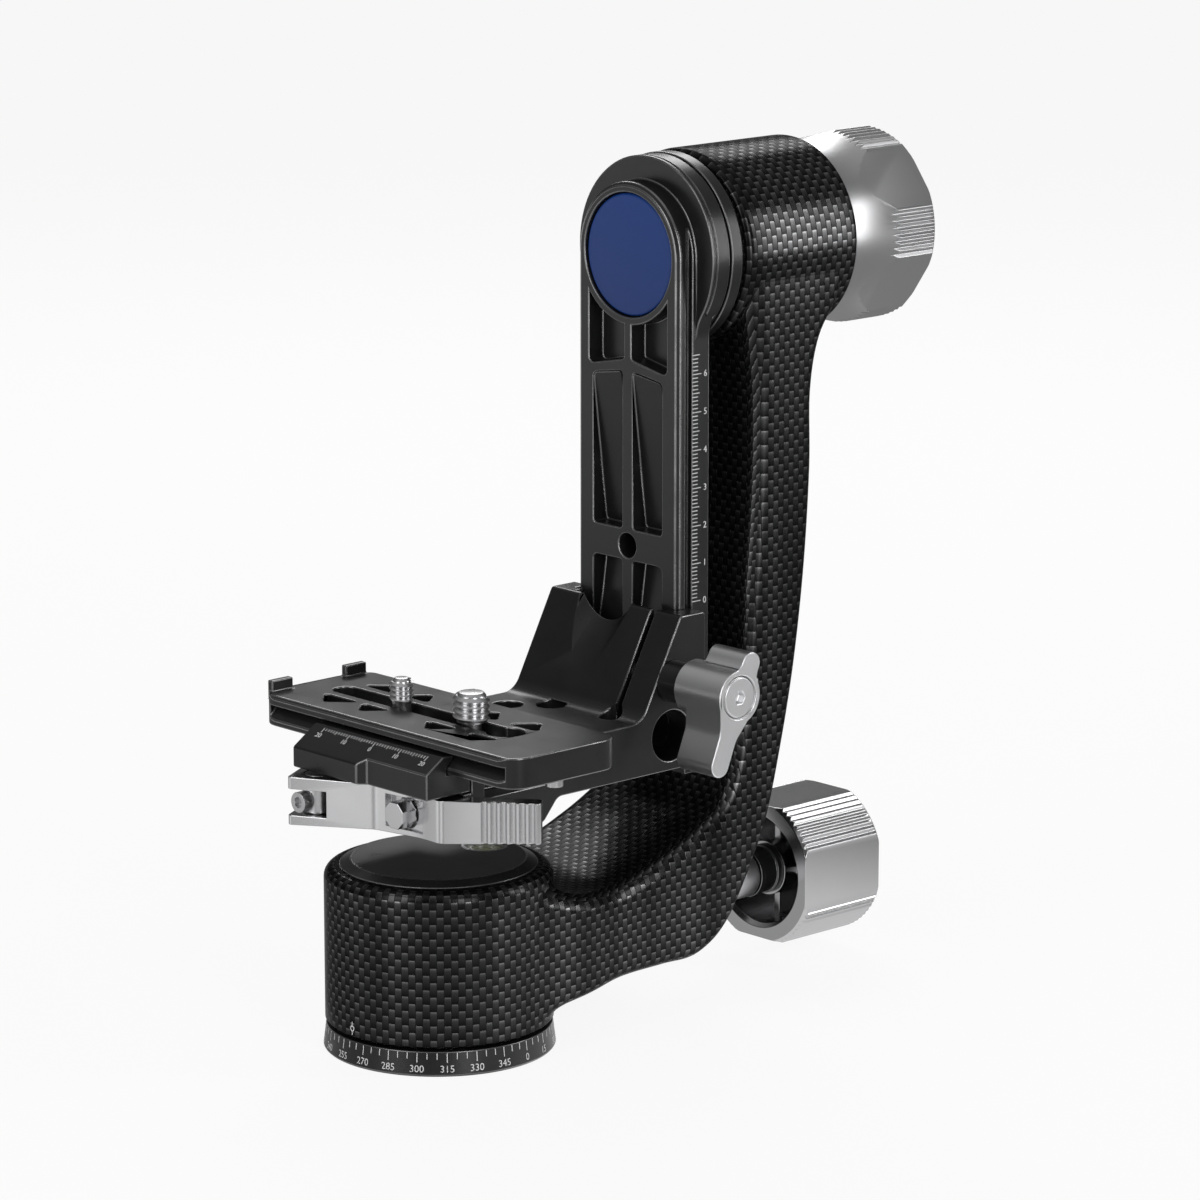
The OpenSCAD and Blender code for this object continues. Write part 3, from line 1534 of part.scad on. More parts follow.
module clamp_lever() {
    pocket_half = 6.5;
    pocket_x = lever_face_x + 0.7;
    deep = lever_top - lever_fork_low;
    color("#c4c6c8")
        difference() {
            intersection() {
                translate([0, 0, lever_fork_low])
                    lever_plan();
                pulled_x([
                    [pivot_y + 2 * fork_reach, lever_fork_low], [lever_tip_y - 2, lever_tip_low],
                    [lever_tip_y - 2, lever_top], [pivot_y + 2 * fork_reach, lever_top]
                ], pivot_x - 2 * fork_reach, 2 * grip_t);
            }
            translate([pivot_x, pivot_y, fork_low])
                cylinder(r = fork_clear_r, h = fork_high - fork_low);
            translate([pivot_x - 2 * fork_reach, pivot_y - tension_r - turn_gap, fork_low])
                cube([4 * fork_reach, 2 * fork_reach, fork_high - fork_low]);
            translate([pivot_x, pivot_y, lever_fork_low - cut])
                cylinder(r = pivot_r + run, h = deep + 2 * cut);
            translate([pivot_x, pivot_y, lever_top - pivot_head_t - slide])
                cylinder(r = pivot_head_r + slide, h = pivot_head_t + slide + cut);
            translate([button_x, button_y - pocket_half, fork_low])
                cube([pocket_x - button_x, 2 * pocket_half, lever_top - fork_low - 1.8]);
            rod_x(button_r + slide, button_x, button_back_x + button_travel + slide, button_y, button_z);
            rod_x(button_stem_r + slide, button_x, lever_back_x + 2, button_y, button_z);
            for (i = [0:grip_count - 1])
                translate([lever_tip_x, lever_tip_y, lever_fork_low - cut])
                    translate(-grip_way * grip_step * (i + 0.9))
                        cylinder(r = grip_r, h = deep + 2 * cut, $fn = 24);
        }
}

module lock_button() {
    color("#c4c6c8") {
        translate([button_x, button_y, button_z])
            rotate([0, 90, 0])
                rotate([0, 0, 22.5])
                    cylinder(r = button_r, h = button_back_x - button_x, $fn = 8);
        rod_x(button_stem_r, button_back_x - 1, button_back_x + 4.1, button_y, button_z);
    }
}

module plate_blank() {
    w = plate_half_w;
    l = plate_half_len;
    outline = rounded([
        [-w, -l, plate_round], [w, -l, plate_round], [w, l, plate_round], [-w, l, plate_round]
    ]);
    translate([0, 0, plate_low])
        linear_extrude(height = plate_top - plate_low)
            polygon(outline);
}

// One triangular window, its long edge towards the slot or away from it
module plate_window(y0, y1, side) {
    tip = (y0 + y1) / 2;
    translate([0, 0, plate_low - cut])
        linear_extrude(height = plate_top - plate_low + 2 * cut)
            polygon(rounded([
                [side * tri_in, y0, 0.8], [side * tri_out, tip, 1.5], [side * tri_in, y1, 0.8]
            ]));
}

module camera_plate() {
    w = plate_half_w;
    color("#1c1d1f")
        difference() {
            union() {
                intersection() {
                    plate_blank();
                    pulled_y([
                        [-w - 1, plate_low - 1], [w + 1, plate_low - 1], [w + 1, plate_top - plate_edge - 1],
                        [w - plate_edge, plate_top], [plate_edge - w, plate_top],
                        [-w - 1, plate_top - plate_edge - 1]
                    ], -plate_half_len, plate_half_len);
                }
                for (s = [-1, 1])
                    translate([s * lug_x - lug_w / 2, plate_half_len - lug_t - 0.4, plate_top - 2])
                        cube([lug_w, lug_t, lug_h + 2]);
            }
            for (m = [0, 1])
                mirror([m, 0, 0])
                    pulled_y([
                        [w + cut, lip_z - cut], [w, lip_z], [w - dovetail_d, lip_z + dovetail_d],
                        [w - dovetail_d, dovetail_top], [w + cut, dovetail_top]
                    ], -dovetail_half_len, dovetail_half_len);
            translate([-slot_half_w, slot_near_y, plate_low - cut])
                cube([2 * slot_half_w, slot_far_y - slot_near_y, plate_top]);
            translate([0, slot_far_y, plate_low - cut])
                cylinder(r = slot_half_w, h = plate_top);
            translate([0, slot_near_y, plate_low - cut])
                cylinder(r = slot_eye_r, h = plate_top);
            translate([-trough_half_w, slot_near_y - 6, plate_low - cut])
                cube([2 * trough_half_w, slot_far_y - slot_near_y + 10, trough_z - plate_low + cut]);
            for (side = [-1, 1]) {
                plate_window(37, 23, side);
                plate_window(21.6, 11, side);
                plate_window(-3.5, -15.4, side);
                plate_window(-19.6, -31, side);
            }
            for (s = [-1, 1])
                translate([0, s * stop_y, plate_low - cut])
                    cylinder(r = stop_shank_r + seat, h = stop_shank_len + cut);
        }
}

module plate_stop_screws() {
    color("#b4b6b8")
        for (s = [-1, 1])
            translate([0, s * stop_y, plate_low - stop_head_h])
                difference() {
                    union() {
                        cylinder(r = stop_head_r, h = stop_head_h);
                        cylinder(r = stop_shank_r, h = stop_head_h + stop_shank_len - seat);
                    }
                    translate([0, 0, -cut])
                        cylinder(r = 1.2, h = 1.4 + cut, $fn = 6);
                }
}

module camera_screw(y, neck_r, thread_r, tip) {
    thread_z = plate_top + 0.4;
    color("#b4b6b8")
        translate([0, y, 0])
            difference() {
                union() {
                    translate([0, 0, camera_head_low])
                        cylinder(r = camera_head_r, h = camera_head_top - camera_head_low);
                    translate([0, 0, camera_head_low])
                        cylinder(r = neck_r, h = thread_z - camera_head_low + cut);
                    translate([0, 0, thread_z])
                        cylinder(r = thread_r, h = tip - thread_z - 0.8);
                    translate([0, 0, tip - 0.8])
                        cylinder(r1 = thread_r, r2 = thread_r - 0.8, h = 0.8);
                }
                translate([-camera_head_r - cut, -0.6, camera_head_low - cut])
                    cube([2 * (camera_head_r + cut), 1.2, 1.3 + cut]);
            }
}

module screw_quarter() {
    camera_screw(quarter_y, camera_neck_r, quarter_r, quarter_tip);
}

module screw_three_eighth() {
    camera_screw(three_eighth_y, camera_neck_r, three_eighth_r, three_eighth_tip);
}

base_ring();
tripod_bush();
pan_spindle();
base_screws();
spindle_nut();
arm_cup();
carbon_arm();
arm_hub();
pan_housing();
pan_bearing_lower();
pan_bearing_upper();
top_cap();
level_cup();
level_fluid();
level_lens();
tilt_housing();
hub_ring();
tilt_bearing_front();
tilt_bearing_rear();
friction_washer();
stud_bush();
pan_knob();
pan_stud();
stud_collar();
brake_rod();
brake_shoe();
swing_rail();
badge();
tilt_axle();
axle_bolts();
axle_washer();
axle_screw();
rail_end_stop();
rail_end_screws();
tilt_knob();
knob_insert();
platform_bracket();
bracket_nut();
lever_pin();
tension_screw();
jaw_pins();
wing_knob();
wing_bolt();
wing_washer();
clamp_jaw();
clamp_lever();
lock_button();
camera_plate();
plate_stop_screws();
screw_quarter();
screw_three_eighth();
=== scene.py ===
import json
import math

import bmesh
import bpy
from bpy.props import FloatProperty, FloatVectorProperty, PointerProperty
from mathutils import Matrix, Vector

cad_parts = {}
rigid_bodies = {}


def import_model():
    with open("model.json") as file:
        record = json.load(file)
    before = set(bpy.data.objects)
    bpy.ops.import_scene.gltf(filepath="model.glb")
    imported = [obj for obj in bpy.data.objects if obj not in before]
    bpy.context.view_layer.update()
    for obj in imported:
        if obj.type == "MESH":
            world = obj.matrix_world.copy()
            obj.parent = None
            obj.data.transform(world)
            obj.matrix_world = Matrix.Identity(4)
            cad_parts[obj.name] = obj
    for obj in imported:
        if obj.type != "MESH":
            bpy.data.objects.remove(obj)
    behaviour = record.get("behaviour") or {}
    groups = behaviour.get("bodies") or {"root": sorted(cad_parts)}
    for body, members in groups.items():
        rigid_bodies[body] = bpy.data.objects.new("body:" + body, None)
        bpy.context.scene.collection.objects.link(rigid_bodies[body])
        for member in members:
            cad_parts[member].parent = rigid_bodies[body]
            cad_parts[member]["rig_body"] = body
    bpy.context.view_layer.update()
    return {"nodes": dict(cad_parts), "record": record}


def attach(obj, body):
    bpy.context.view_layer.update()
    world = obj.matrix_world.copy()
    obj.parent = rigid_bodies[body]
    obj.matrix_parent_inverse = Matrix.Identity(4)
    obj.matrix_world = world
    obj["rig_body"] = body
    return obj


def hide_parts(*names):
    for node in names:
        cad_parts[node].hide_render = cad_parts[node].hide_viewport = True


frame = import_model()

bl_info = {
    "name": "Gimbal head",
    "version": (1, 0, 0),
    "blender": (4, 5, 0),
    "location": "View3D > Sidebar > Gimbal",
    "description": "Finishes, moulded carbon, scales and threads for a gimbal head",
    "category": "Object",
}

MM = 0.001

# Places shared with the solids, in millimetres
TILT_Z = 198.3
LOCK_Z = 24.3
CUP_R = 29.5
CUP_LOW = 7.4
CUP_TOP = 48.0
CUP_BORE_R = 24.45
HUB_R = 26.0
HUB_X = 84.8
HUB_END = 125.5
HUB_BORE_R = 21.45
DIAL_FOOT_R = 30.0
DIAL_LEAN = 0.8
DIAL_H = 6.5
DIAL_ZERO = -82.5
BADGE_R = 16.0
BADGE_X = 66.9
BADGE_DEEP = 1.4
LEVEL_X = 15.8
LEVEL_R = 5.15
LEVEL_FOOT = 45.2
LEVEL_FILL = 48.38
LEVEL_TOP = 49.6
WING_X = 58.8
WING_Z = 90.7
RAIL_SIDE_Y = -19.0
RAIL_ZERO_Z = 108.7
PLATE_TOP = 87.3
JAW_EDGE = (-19.9, 83.9)
JAW_FALL = (-7.5, -5.0)

# Places of the print, in millimetres
DIAL_MARK_TOP = 6.2
DIAL_NUMBER_Z = 2.15
INDEX_Z = 9.9
RAIL_MARK_X = 71.5
RAIL_NUMBER_IN = 4.5
JAW_MARK_IN = 0.9
JAW_NUMBER_IN = 2.6
PRINT_LIFT = 0.02

# Index mark, in millimetres: radii of its ring, reach and half-width of its two bars, half its thickness
INDEX_RING = (0.5, 0.78)
INDEX_BAR = (0.7, 1.7)
INDEX_BAR_HALF = 0.13
INDEX_THICK = 0.04

# Camera screws: depth of the ridge and of the core beneath it, as shares of the pitch
RIDGE_SHARE = 0.475
CORE_SHARE = 0.6

# Starts of ridge and core above the plate, and end of the ridge below the tip, in millimetres
RIDGE_START = 1.0
CORE_START = 0.3
RIDGE_END = 0.9

# Thickness of a printed mark, in metres
PRINT_THICK = 0.0001

# Edges that turn by more than this many degrees are rounded
SHARP = 26.0

# Arm sections: outer x and z, inner x and z, half-width
ARM_SECTIONS = [
    (8, 10, 8, 44, 28), (27, 12, 27, 39.5, 28), (42, 13.7, 40, 39, 26), (58, 13.7, 53, 42, 25),
    (70, 14, 63, 45.5, 25), (80, 20, 71, 49, 25), (89, 33.5, 77.5, 53, 25), (96, 48, 81.5, 60, 25),
    (101.5, 68, 84, 70.5, 25), (106, 90, 86.2, 90, 25), (109.3, 115, 88.5, 115, 25),
    (111, 140.3, 90, 138.3, 25), (111, 160.3, 90, 160.3, 25), (114, 174.3, 88.5, 174.3, 25),
    (121, 185.3, 87, 186, 25), (123.5, 196.3, 86.8, 197.3, 25),
]

# Fineness of the moulding: rows to a section, points along a line, steps in a corner and round a turned end
ARM_ROWS = 10
ARM_POINTS = 150
ARM_CORNER = 8
TURN_STEPS = 144


def operation(name, swapped=False):
    """A method that adds one Math node, its two values swapped for a reflected operator."""
    def method(wire, *other):
        return wire.graph.math(name, *((*other, wire) if swapped else (wire, *other)))
    return method


class Wire:
    """A node's output that takes part in Python arithmetic."""

    def __init__(self, graph, socket):
        self.graph = graph
        self.socket = socket

    def out(self, name):
        return Wire(self.graph, self.socket.node.outputs[name])

    def __neg__(self):
        return self * -1.0

    __add__, __radd__ = operation("ADD"), operation("ADD", True)
    __sub__, __rsub__ = operation("SUBTRACT"), operation("SUBTRACT", True)
    __mul__, __rmul__ = operation("MULTIPLY"), operation("MULTIPLY", True)
    __truediv__, __rtruediv__ = operation("DIVIDE"), operation("DIVIDE", True)
    __pow__, __rpow__ = operation("POWER"), operation("POWER", True)
    __mod__, __rmod__ = operation("FLOORED_MODULO"), operation("FLOORED_MODULO", True)
    __lt__, __gt__ = operation("LESS_THAN"), operation("GREATER_THAN")
    floor, sine, cosine = operation("FLOOR"), operation("SINE"), operation("COSINE")


def spaced(sockets):
    """Values by socket, for names that are written with underscores for spaces."""
    return {key.replace("_", " "): value for key, value in sockets.items()}


class Graph:
    """A node tree under construction, and the material it belongs to."""

    def __init__(self, tree, material=None):
        self.tree = tree
        self.material = material

    def add(self, kind, settings=None, values=None, output=0):
        node = self.tree.nodes.new(kind)
        for key, value in (settings or {}).items():
            if key == "stops":
                self.set_stops(node.color_ramp, value)
            else:
                setattr(node, key, value)
        for key, value in (values or {}).items():
            if isinstance(value, Wire):
                self.tree.links.new(value.socket, node.inputs[key])
            else:
                node.inputs[key].default_value = value
        return Wire(self, node.outputs[output]) if node.outputs else node

    @staticmethod
    def set_stops(ramp, stops):
        while len(ramp.elements) < len(stops):
            ramp.elements.new(0.5)
        for element, (place, shade) in zip(ramp.elements, stops):
            element.position = place
            element.color = (shade, shade, shade, 1)

    def math(self, operation, *values):
        return self.add("ShaderNodeMath", {"operation": operation}, dict(enumerate(values)))

    def mix(self, factor, low, high):
        return self.add("ShaderNodeMix", {"data_type": "RGBA"}, {0: factor, 6: low, 7: high}, 2)

    def ramp(self, value, stops):
        return self.add("ShaderNodeValToRGB", {"stops": stops}, {0: value})

    def vector(self, x, y, z):
        return self.add("ShaderNodeCombineXYZ", None, {0: x, 1: y, 2: z})

    def parts(self, vector):
        x = self.add("ShaderNodeSeparateXYZ", None, {0: vector})
        return x, x.out("Y"), x.out("Z")

    def place(self):
        """Object coordinates, in metres."""
        return self.add("ShaderNodeTexCoord", None, None, "Object")

    def noise(self, vector, scale, detail=2.0, rough=0.5):
        values = {"Vector": vector, "Scale": scale, "Detail": detail, "Roughness": rough}
        return self.add("ShaderNodeTexNoise", None, values, "Fac")

    def shape(self, kind, settings=None, **sockets):
        return self.add("GeometryNode" + kind, settings, spaced(sockets))

    def bump(self, height, distance, strength=1.0):
        values = {"Height": height, "Distance": distance, "Strength": strength}
        return self.add("ShaderNodeBump", None, values)


def colour(value):
    return (value[0], value[1], value[2], 1.0)


def grey(value):
    return (value, value, value, 1.0)


def new_finish(name):
    """The graph of a new material that has one shader."""
    old = bpy.data.materials.get(name)
    if old:
        bpy.data.materials.remove(old)
    material = bpy.data.materials.new(name)
    material.use_nodes = True
    material.node_tree.nodes.clear()
    return Graph(material.node_tree, material)


def close_finish(graph, **sockets):
    """Adds the shader and gives the finished material."""
    shader = graph.add("ShaderNodeBsdfPrincipled", None, spaced(sockets))
    graph.add("ShaderNodeOutputMaterial", None, {"Surface": shader})
    return graph.material


def settings():
    return bpy.context.scene.gimbal_head


# Finishes

def woven_carbon(name):
    """Tows that overlap like shingles under a thin clear coat, laid by the piece's own map in millimetres;
    each tow's upper end is painted light as a highlight, the cloth between and below is painted dark as
    shade, with streaks of painted sheen.
    """
    s = settings().carbon
    g = new_finish(name)
    u, v, _ = g.parts(g.add("ShaderNodeUVMap", {"uv_map": "weave"}))
    u = u * (MM / s.tow_width)
    v = v * (MM / s.tow_length)
    across = u % 1.0
    rise = (v * 0.5 + (u.floor() % 2.0) * 0.5) % 1.0
    side = (across * math.pi).sine()
    narrow = g.ramp(rise, [(0.85, 0.0), (1.0, 0.22)])
    tow = g.ramp(side - narrow, [(0.0, 0.15), (0.22, 1.0)])
    # Painted highlight: each tow is painted brightest at its upper end and fades to dark below, as if lit
    # from above.
    fall = g.ramp(rise, [(0.0, 0.0), (0.35, 0.1), (0.75, 0.25), (0.88, 0.45), (0.95, 0.95), (1.0, 0.95)])
    fibres = g.noise(g.vector(u * 26.0, v * 1.6, 0.0), 1.0, 2.0)
    sheen = g.ramp(g.noise(g.vector(u * 0.16, v * 0.012, 0.0), 1.0, 2.0), [(0.35, 0.25), (0.65, 1.0)])
    # Painted light: the colour runs from the dark colour, painted shade, to the light colour, a painted
    # highlight, by tow, fall and the streaks of painted sheen.
    base = g.mix(tow * fall * (0.7 + 0.6 * fibres) * (0.2 + 1.2 * sheen), colour(s.dark), colour(s.light))
    height = tow * (0.35 + 0.65 * rise)
    rough = s.roughness + 0.16 * (1.0 - tow) - 0.06 * fibres
    return close_finish(g, Base_Color=base, Metallic=0.85, Roughness=rough, Specular_IOR_Level=0.22,
                        Specular_Tint=grey(0.35), Coat_Weight=0.06, Coat_Roughness=0.2,
                        Normal=g.bump(height, 0.00005, 0.6))


def anodised(name, shade, rough):
    """Fine bead-blasted black anodising with a faint cloud in the colour."""
    g = new_finish(name)
    place = g.place()
    grain = g.noise(place, 5200.0, 3.0, 0.6)
    cloud = g.noise(place, 140.0, 3.0)
    rubbed = g.ramp(g.noise(place, 900.0, 4.0, 0.7), [(0.55, 0.0), (0.8, 1.0)])
    tone = shade * (0.75 + 0.5 * cloud)
    base = g.mix(rubbed * 0.25, g.vector(tone, tone, tone * 1.04), grey(shade * 2.2))
    return close_finish(g, Base_Color=base, Roughness=rough + 0.1 * (grain - 0.5) + 0.12 * (cloud - 0.5),
                        Specular_IOR_Level=0.45, Normal=g.bump(grain, 0.000012, 0.35))


def anodised_edge(name):
    """Edges of the black finish painted lighter and more metallic, a painted highlight along the rounded
    edges, a little uneven.
    """
    g = new_finish(name)
    uneven_highlight = g.ramp(g.noise(g.place(), 150.0, 2.0, 0.5), [(0.25, 0.0), (0.75, 1.0)])
    # Painted highlight: the edge strips take a lighter grey than the black finish, unevenly bright.
    base = g.mix(uneven_highlight, grey(0.15), grey(0.26))
    return close_finish(g, Base_Color=base, Metallic=0.85 + 0.1 * uneven_highlight, Roughness=0.3 - 0.06 * uneven_highlight)


def turned_metal(name, tone, rough, axis, centre):
    """Metal turned about an axis: fine rings, a slow cloud and small scratches."""
    g = new_finish(name)
    place = g.place()
    x, y, z = g.parts(place)
    along, a, b = {"X": (x, y, z), "Y": (y, x, z), "Z": (z, x, y)}[axis]
    radius = ((a - centre[0]) ** 2.0 + (b - centre[1]) ** 2.0) ** 0.5
    rings = g.noise(g.vector(along * 3600.0, radius * 3600.0, 0.0), 1.0, 3.0, 0.65)
    cloud = g.noise(place, 90.0, 2.0)
    scratch = g.ramp(g.noise(place, 700.0, 5.0, 0.75), [(0.6, 0.0), (0.75, 1.0)])
    shade = 0.93 + 0.1 * rings + 0.05 * cloud
    base = g.vector(shade * tone[0], shade * tone[1], shade * tone[2])
    return close_finish(g, Base_Color=base, Metallic=1.0,
                        Roughness=rough + 0.06 * (rings - 0.5) + 0.05 * scratch,
                        Normal=g.bump(rings, 0.000006, 0.15))


def blasted_metal(name, tone, rough):
    """Bead-blasted bright metal with an even fine grain."""
    g = new_finish(name)
    place = g.place()
    grain = g.noise(place, 4200.0, 3.0, 0.6)
    cloud = g.noise(place, 110.0, 3.0)
    shade = 0.92 + 0.08 * grain + 0.08 * cloud
    base = g.vector(shade * tone[0], shade * tone[1], shade * tone[2])
    return close_finish(g, Base_Color=base, Metallic=1.0, Roughness=rough + 0.1 * (grain - 0.5),
                        Normal=g.bump(grain, 0.00001, 0.3))


def blue_enamel(name):
    """Glossy enamel, painted lighter towards the top and darker towards the foot as painted light and shade,
    and with a faint orange peel.
    """
    s = settings().metal
    g = new_finish(name)
    place = g.place()
    _, _, z = g.parts(place)
    rise = g.ramp((z - (TILT_Z - BADGE_R) * MM) / (2 * BADGE_R * MM), [(0.0, 0.0), (1.0, 1.0)])
    peel = g.noise(place, 900.0, 2.0)
    fleck = g.noise(place, 9000.0, 2.0)
    # Painted shade: the enamel is painted darker towards the foot of the disc and lighter towards its top.
    deep = colour([c * 0.75 for c in s.enamel])
    base = g.mix(rise * 0.8 + 0.3 * (fleck - 0.5), deep, colour(s.enamel))
    return close_finish(g, Base_Color=base, Roughness=0.32 + 0.06 * peel, Coat_Weight=0.12,
                        Coat_Roughness=0.08, Specular_IOR_Level=0.25, Normal=g.bump(peel, 0.00001, 0.25))


def white_print(name):
    """Printed white with small breaks in the ink."""
    g = new_finish(name)
    breaks = g.noise(g.place(), 3800.0, 3.0, 0.7)
    base = g.mix(g.ramp(breaks, [(0.3, 0.0), (0.55, 1.0)]), grey(0.42), grey(0.74))
    return close_finish(g, Base_Color=base, Roughness=0.5 + 0.2 * breaks)


def level_liquid(name):
    """Yellow-green liquid with slow swirls."""
    g = new_finish(name)
    swirl = g.noise(g.place(), 260.0, 3.0)
    base = g.mix(swirl, (0.30, 0.34, 0.02, 1), (0.52, 0.56, 0.08, 1))
    return close_finish(g, Base_Color=base, Roughness=0.12 + 0.08 * swirl, Coat_Weight=0.6)


def level_glass(name):
    """Clear cover of the level, its gloss kept over a thin see-through body."""
    g = new_finish(name)
    smear = g.noise(g.place(), 500.0, 4.0)
    return close_finish(g, Base_Color=g.mix(smear, (0.9, 0.95, 0.86, 1), (0.96, 0.98, 0.94, 1)),
                        Roughness=0.02 + 0.05 * smear, Alpha=0.12 + 0.06 * smear, IOR=1.49)


def lining(name, tone):
    """Matte lining with short fibres."""
    g = new_finish(name)
    fibre = g.noise(g.place(), 1600.0, 4.0, 0.7)
    base = g.mix(fibre, colour([c * 0.6 for c in tone]), colour(tone))
    return close_finish(g, Base_Color=base, Roughness=0.75 + 0.15 * fibre,
                        Normal=g.bump(fibre, 0.00005, 0.5))


def finish_of(key):
    """Makes a finish the first time it is asked for."""
    made = bpy.data.materials.get(key)
    if made and made.get("made"):
        return made
    s = settings().metal
    aluminium = tuple(s.aluminium)
    # Painted light and shade: the tilt and pan knobs take the aluminium painted darker, and the wing knob
    # takes it painted lighter, for how much light each catches.
    knob = [c * 0.7 for c in aluminium]
    wing = [c * 1.2 for c in aluminium]
    tilt_axis, upright = (0, TILT_Z * MM), (0, 0)
    maker, *look = {
        "woven_carbon": (woven_carbon,),
        "black_anodised": (anodised, s.black, 0.31),
        "black_screws": (anodised, s.black * 1.5, 0.3),
        "anodised_edge": (anodised_edge,),
        "tilt_knob_metal": (turned_metal, knob, 0.34, "X", tilt_axis),
        "pan_knob_metal": (turned_metal, knob, 0.2, "X", (0, LOCK_Z * MM)),
        "wing_knob_metal": (turned_metal, wing, 0.34, "Y", (WING_X * MM, WING_Z * MM)),
        "lever_metal": (blasted_metal, aluminium, 0.2),
        "machined_aluminium": (turned_metal, (0.55, 0.55, 0.56), 0.34, "Z", upright),
        "steel": (turned_metal, tuple(s.steel), 0.28, "Z", upright),
        "brass": (turned_metal, (0.72, 0.56, 0.25), 0.25, "X", tilt_axis),
        "friction_pad": (lining, (0.35, 0.25, 0.14)),
        "blue_enamel": (blue_enamel,),
        "white_print": (white_print,),
        "level_liquid": (level_liquid,),
        "level_glass": (level_glass,),
        # Painted highlight: the bubble is a pale matte where the air under the cover shows bright.
        "level_bubble": (lining, (0.75, 0.8, 0.4)),
        "level_ink": (anodised, 0.02, 0.5),
    }[key]
    material = maker(key, *look)
    material["made"] = True
    return material


# Meshes

def linked(name, data):
    """A new object in the scene."""
    item = bpy.data.objects.new(name, data)
    bpy.context.scene.collection.objects.link(item)
    return item


def add_piece(name, mesh, body, slot, *finishes, replaces=()):
    """Links a finished mesh as a piece that rides on a body; faces keep their choice of finish."""
    piece = linked(name, mesh)
    for i, key in enumerate(finishes):
        if i == len(mesh.materials):
            mesh.materials.append(None)
        mesh.materials[i] = finish_of(key)
    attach(piece, body)
    if replaces:
        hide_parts(*replaces)
    return piece


def mesh_of(name, points, faces):
    mesh = bpy.data.meshes.new(name)
    mesh.from_pydata(points, [], faces)
    mesh.validate()
    mesh.update()
    return mesh


def smooth(mesh, degrees):
    """Shades a mesh smooth, apart from the edges that turn by more."""
    mesh.shade_smooth()
    mesh.set_sharp_from_angle(angle=math.radians(degrees))
    return mesh


def plain_mesh(source, name):
    """The evaluated object's mesh, with every modifier taken up in it; the object is given up."""
    bpy.context.view_layer.update()
    graph = bpy.context.evaluated_depsgraph_get()
    mesh = bpy.data.meshes.new_from_object(source.evaluated_get(graph), depsgraph=graph)
    mesh.name = name
    bpy.data.objects.remove(source)
    return mesh


def merged_solid(node):
    """A copy of a solid's mesh as points and faces, its doubles merged and flat faces joined."""
    bm = bmesh.new()
    bm.from_mesh(frame["nodes"][node].data)
    bmesh.ops.remove_doubles(bm, verts=bm.verts, dist=2e-6)
    bmesh.ops.dissolve_limit(bm, angle_limit=math.radians(0.4), verts=bm.verts, edges=bm.edges)
    bm.verts.index_update()
    points = [v.co.copy() for v in bm.verts]
    faces = [[v.index for v in f.verts] for f in bm.faces]
    bm.free()
    return points, faces


def softened(name, points, faces, width, angle=SHARP):
    """A mesh whose sharp edges are rounded by a narrow bevel; the rounded strips take the second finish."""
    mesh = smooth(mesh_of(name, points, faces), min(angle, SHARP))
    raw = linked(name + "_raw", mesh)
    mesh.materials.append(None)
    mesh.materials.append(None)
    bevel = raw.modifiers.new("edges", "BEVEL")
    bevel.limit_method = "ANGLE"
    bevel.angle_limit = math.radians(angle)
    bevel.width = width
    bevel.segments = 2
    bevel.material = 1
    bevel.use_clamp_overlap = False
    bevel.harden_normals = True
    result = plain_mesh(raw, name)
    bpy.data.meshes.remove(mesh)
    return result


def dress(node, name, finish, edge, width, angle=SHARP):
    """A copy of a solid with rounded edges and its finish, in the solid's place."""
    solid = frame["nodes"][node]
    points, faces = merged_solid(node)
    mesh = softened(name, points, faces, width * MM, angle)
    slot = next(p["material_slot"] for p in frame["record"]["subparts"] if p["node"] == node)
    return add_piece(name, mesh, solid["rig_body"], slot, finish, edge, replaces=(node,))


def revolved(profile, steps, axis="Z", centre=(0, 0, 0)):
    """Points and faces of an outline (radius, height), in millimetres, turned about an axis."""
    points, faces = [], []
    count = len(profile)
    for i in range(steps):
        a = 2 * math.pi * i / steps
        for radius, height in profile:
            ring = (radius * math.cos(a), radius * math.sin(a), height)
            if axis == "X":
                ring = (height, ring[0], ring[1])
            points.append([(c + p) * MM for c, p in zip(centre, ring)])
    for i in range(steps):
        j = (i + 1) % steps
        for k in range(count - 1):
            faces.append((i * count + k, j * count + k, j * count + k + 1, i * count + k + 1))
    return points, faces


def band(inner, outer, low, high):
    """Closed outline of a flat ring, as (radius, height)."""
    return [(inner, low), (outer, low), (outer, high), (inner, high), (inner, low)]


def close_up(mesh):
    """Merges the poles and seams and turns every face outwards."""
    bm = bmesh.new()
    bm.from_mesh(mesh)
    bmesh.ops.remove_doubles(bm, verts=bm.verts, dist=1e-6)
    bmesh.ops.dissolve_degenerate(bm, dist=1e-7, edges=bm.edges)
    bmesh.ops.recalc_face_normals(bm, faces=bm.faces)
    bm.to_mesh(mesh)
    bm.free()
    return mesh


# What repeats

def new_tree(name, sizes):
    """A geometry tree with named inputs: its graph, and a wire from each input."""
    tree = bpy.data.node_groups.new(name, "GeometryNodeTree")
    tree.interface.new_socket("Geometry", in_out="OUTPUT", socket_type="NodeSocketGeometry")
    for key, kind in sizes.items():
        tree.interface.new_socket(key, in_out="INPUT", socket_type="NodeSocket" + kind)
    g = Graph(tree)
    feed = g.add("NodeGroupInput")
    return g, {key: feed.out(key) for key in sizes}


def close_tree(g, shape, finish):
    shape = g.shape("RealizeInstances", Geometry=shape)
    shape = g.shape("SetMaterial", Geometry=shape, Material=finish)
    g.add("NodeGroupOutput", None, {0: shape})
    return g.tree


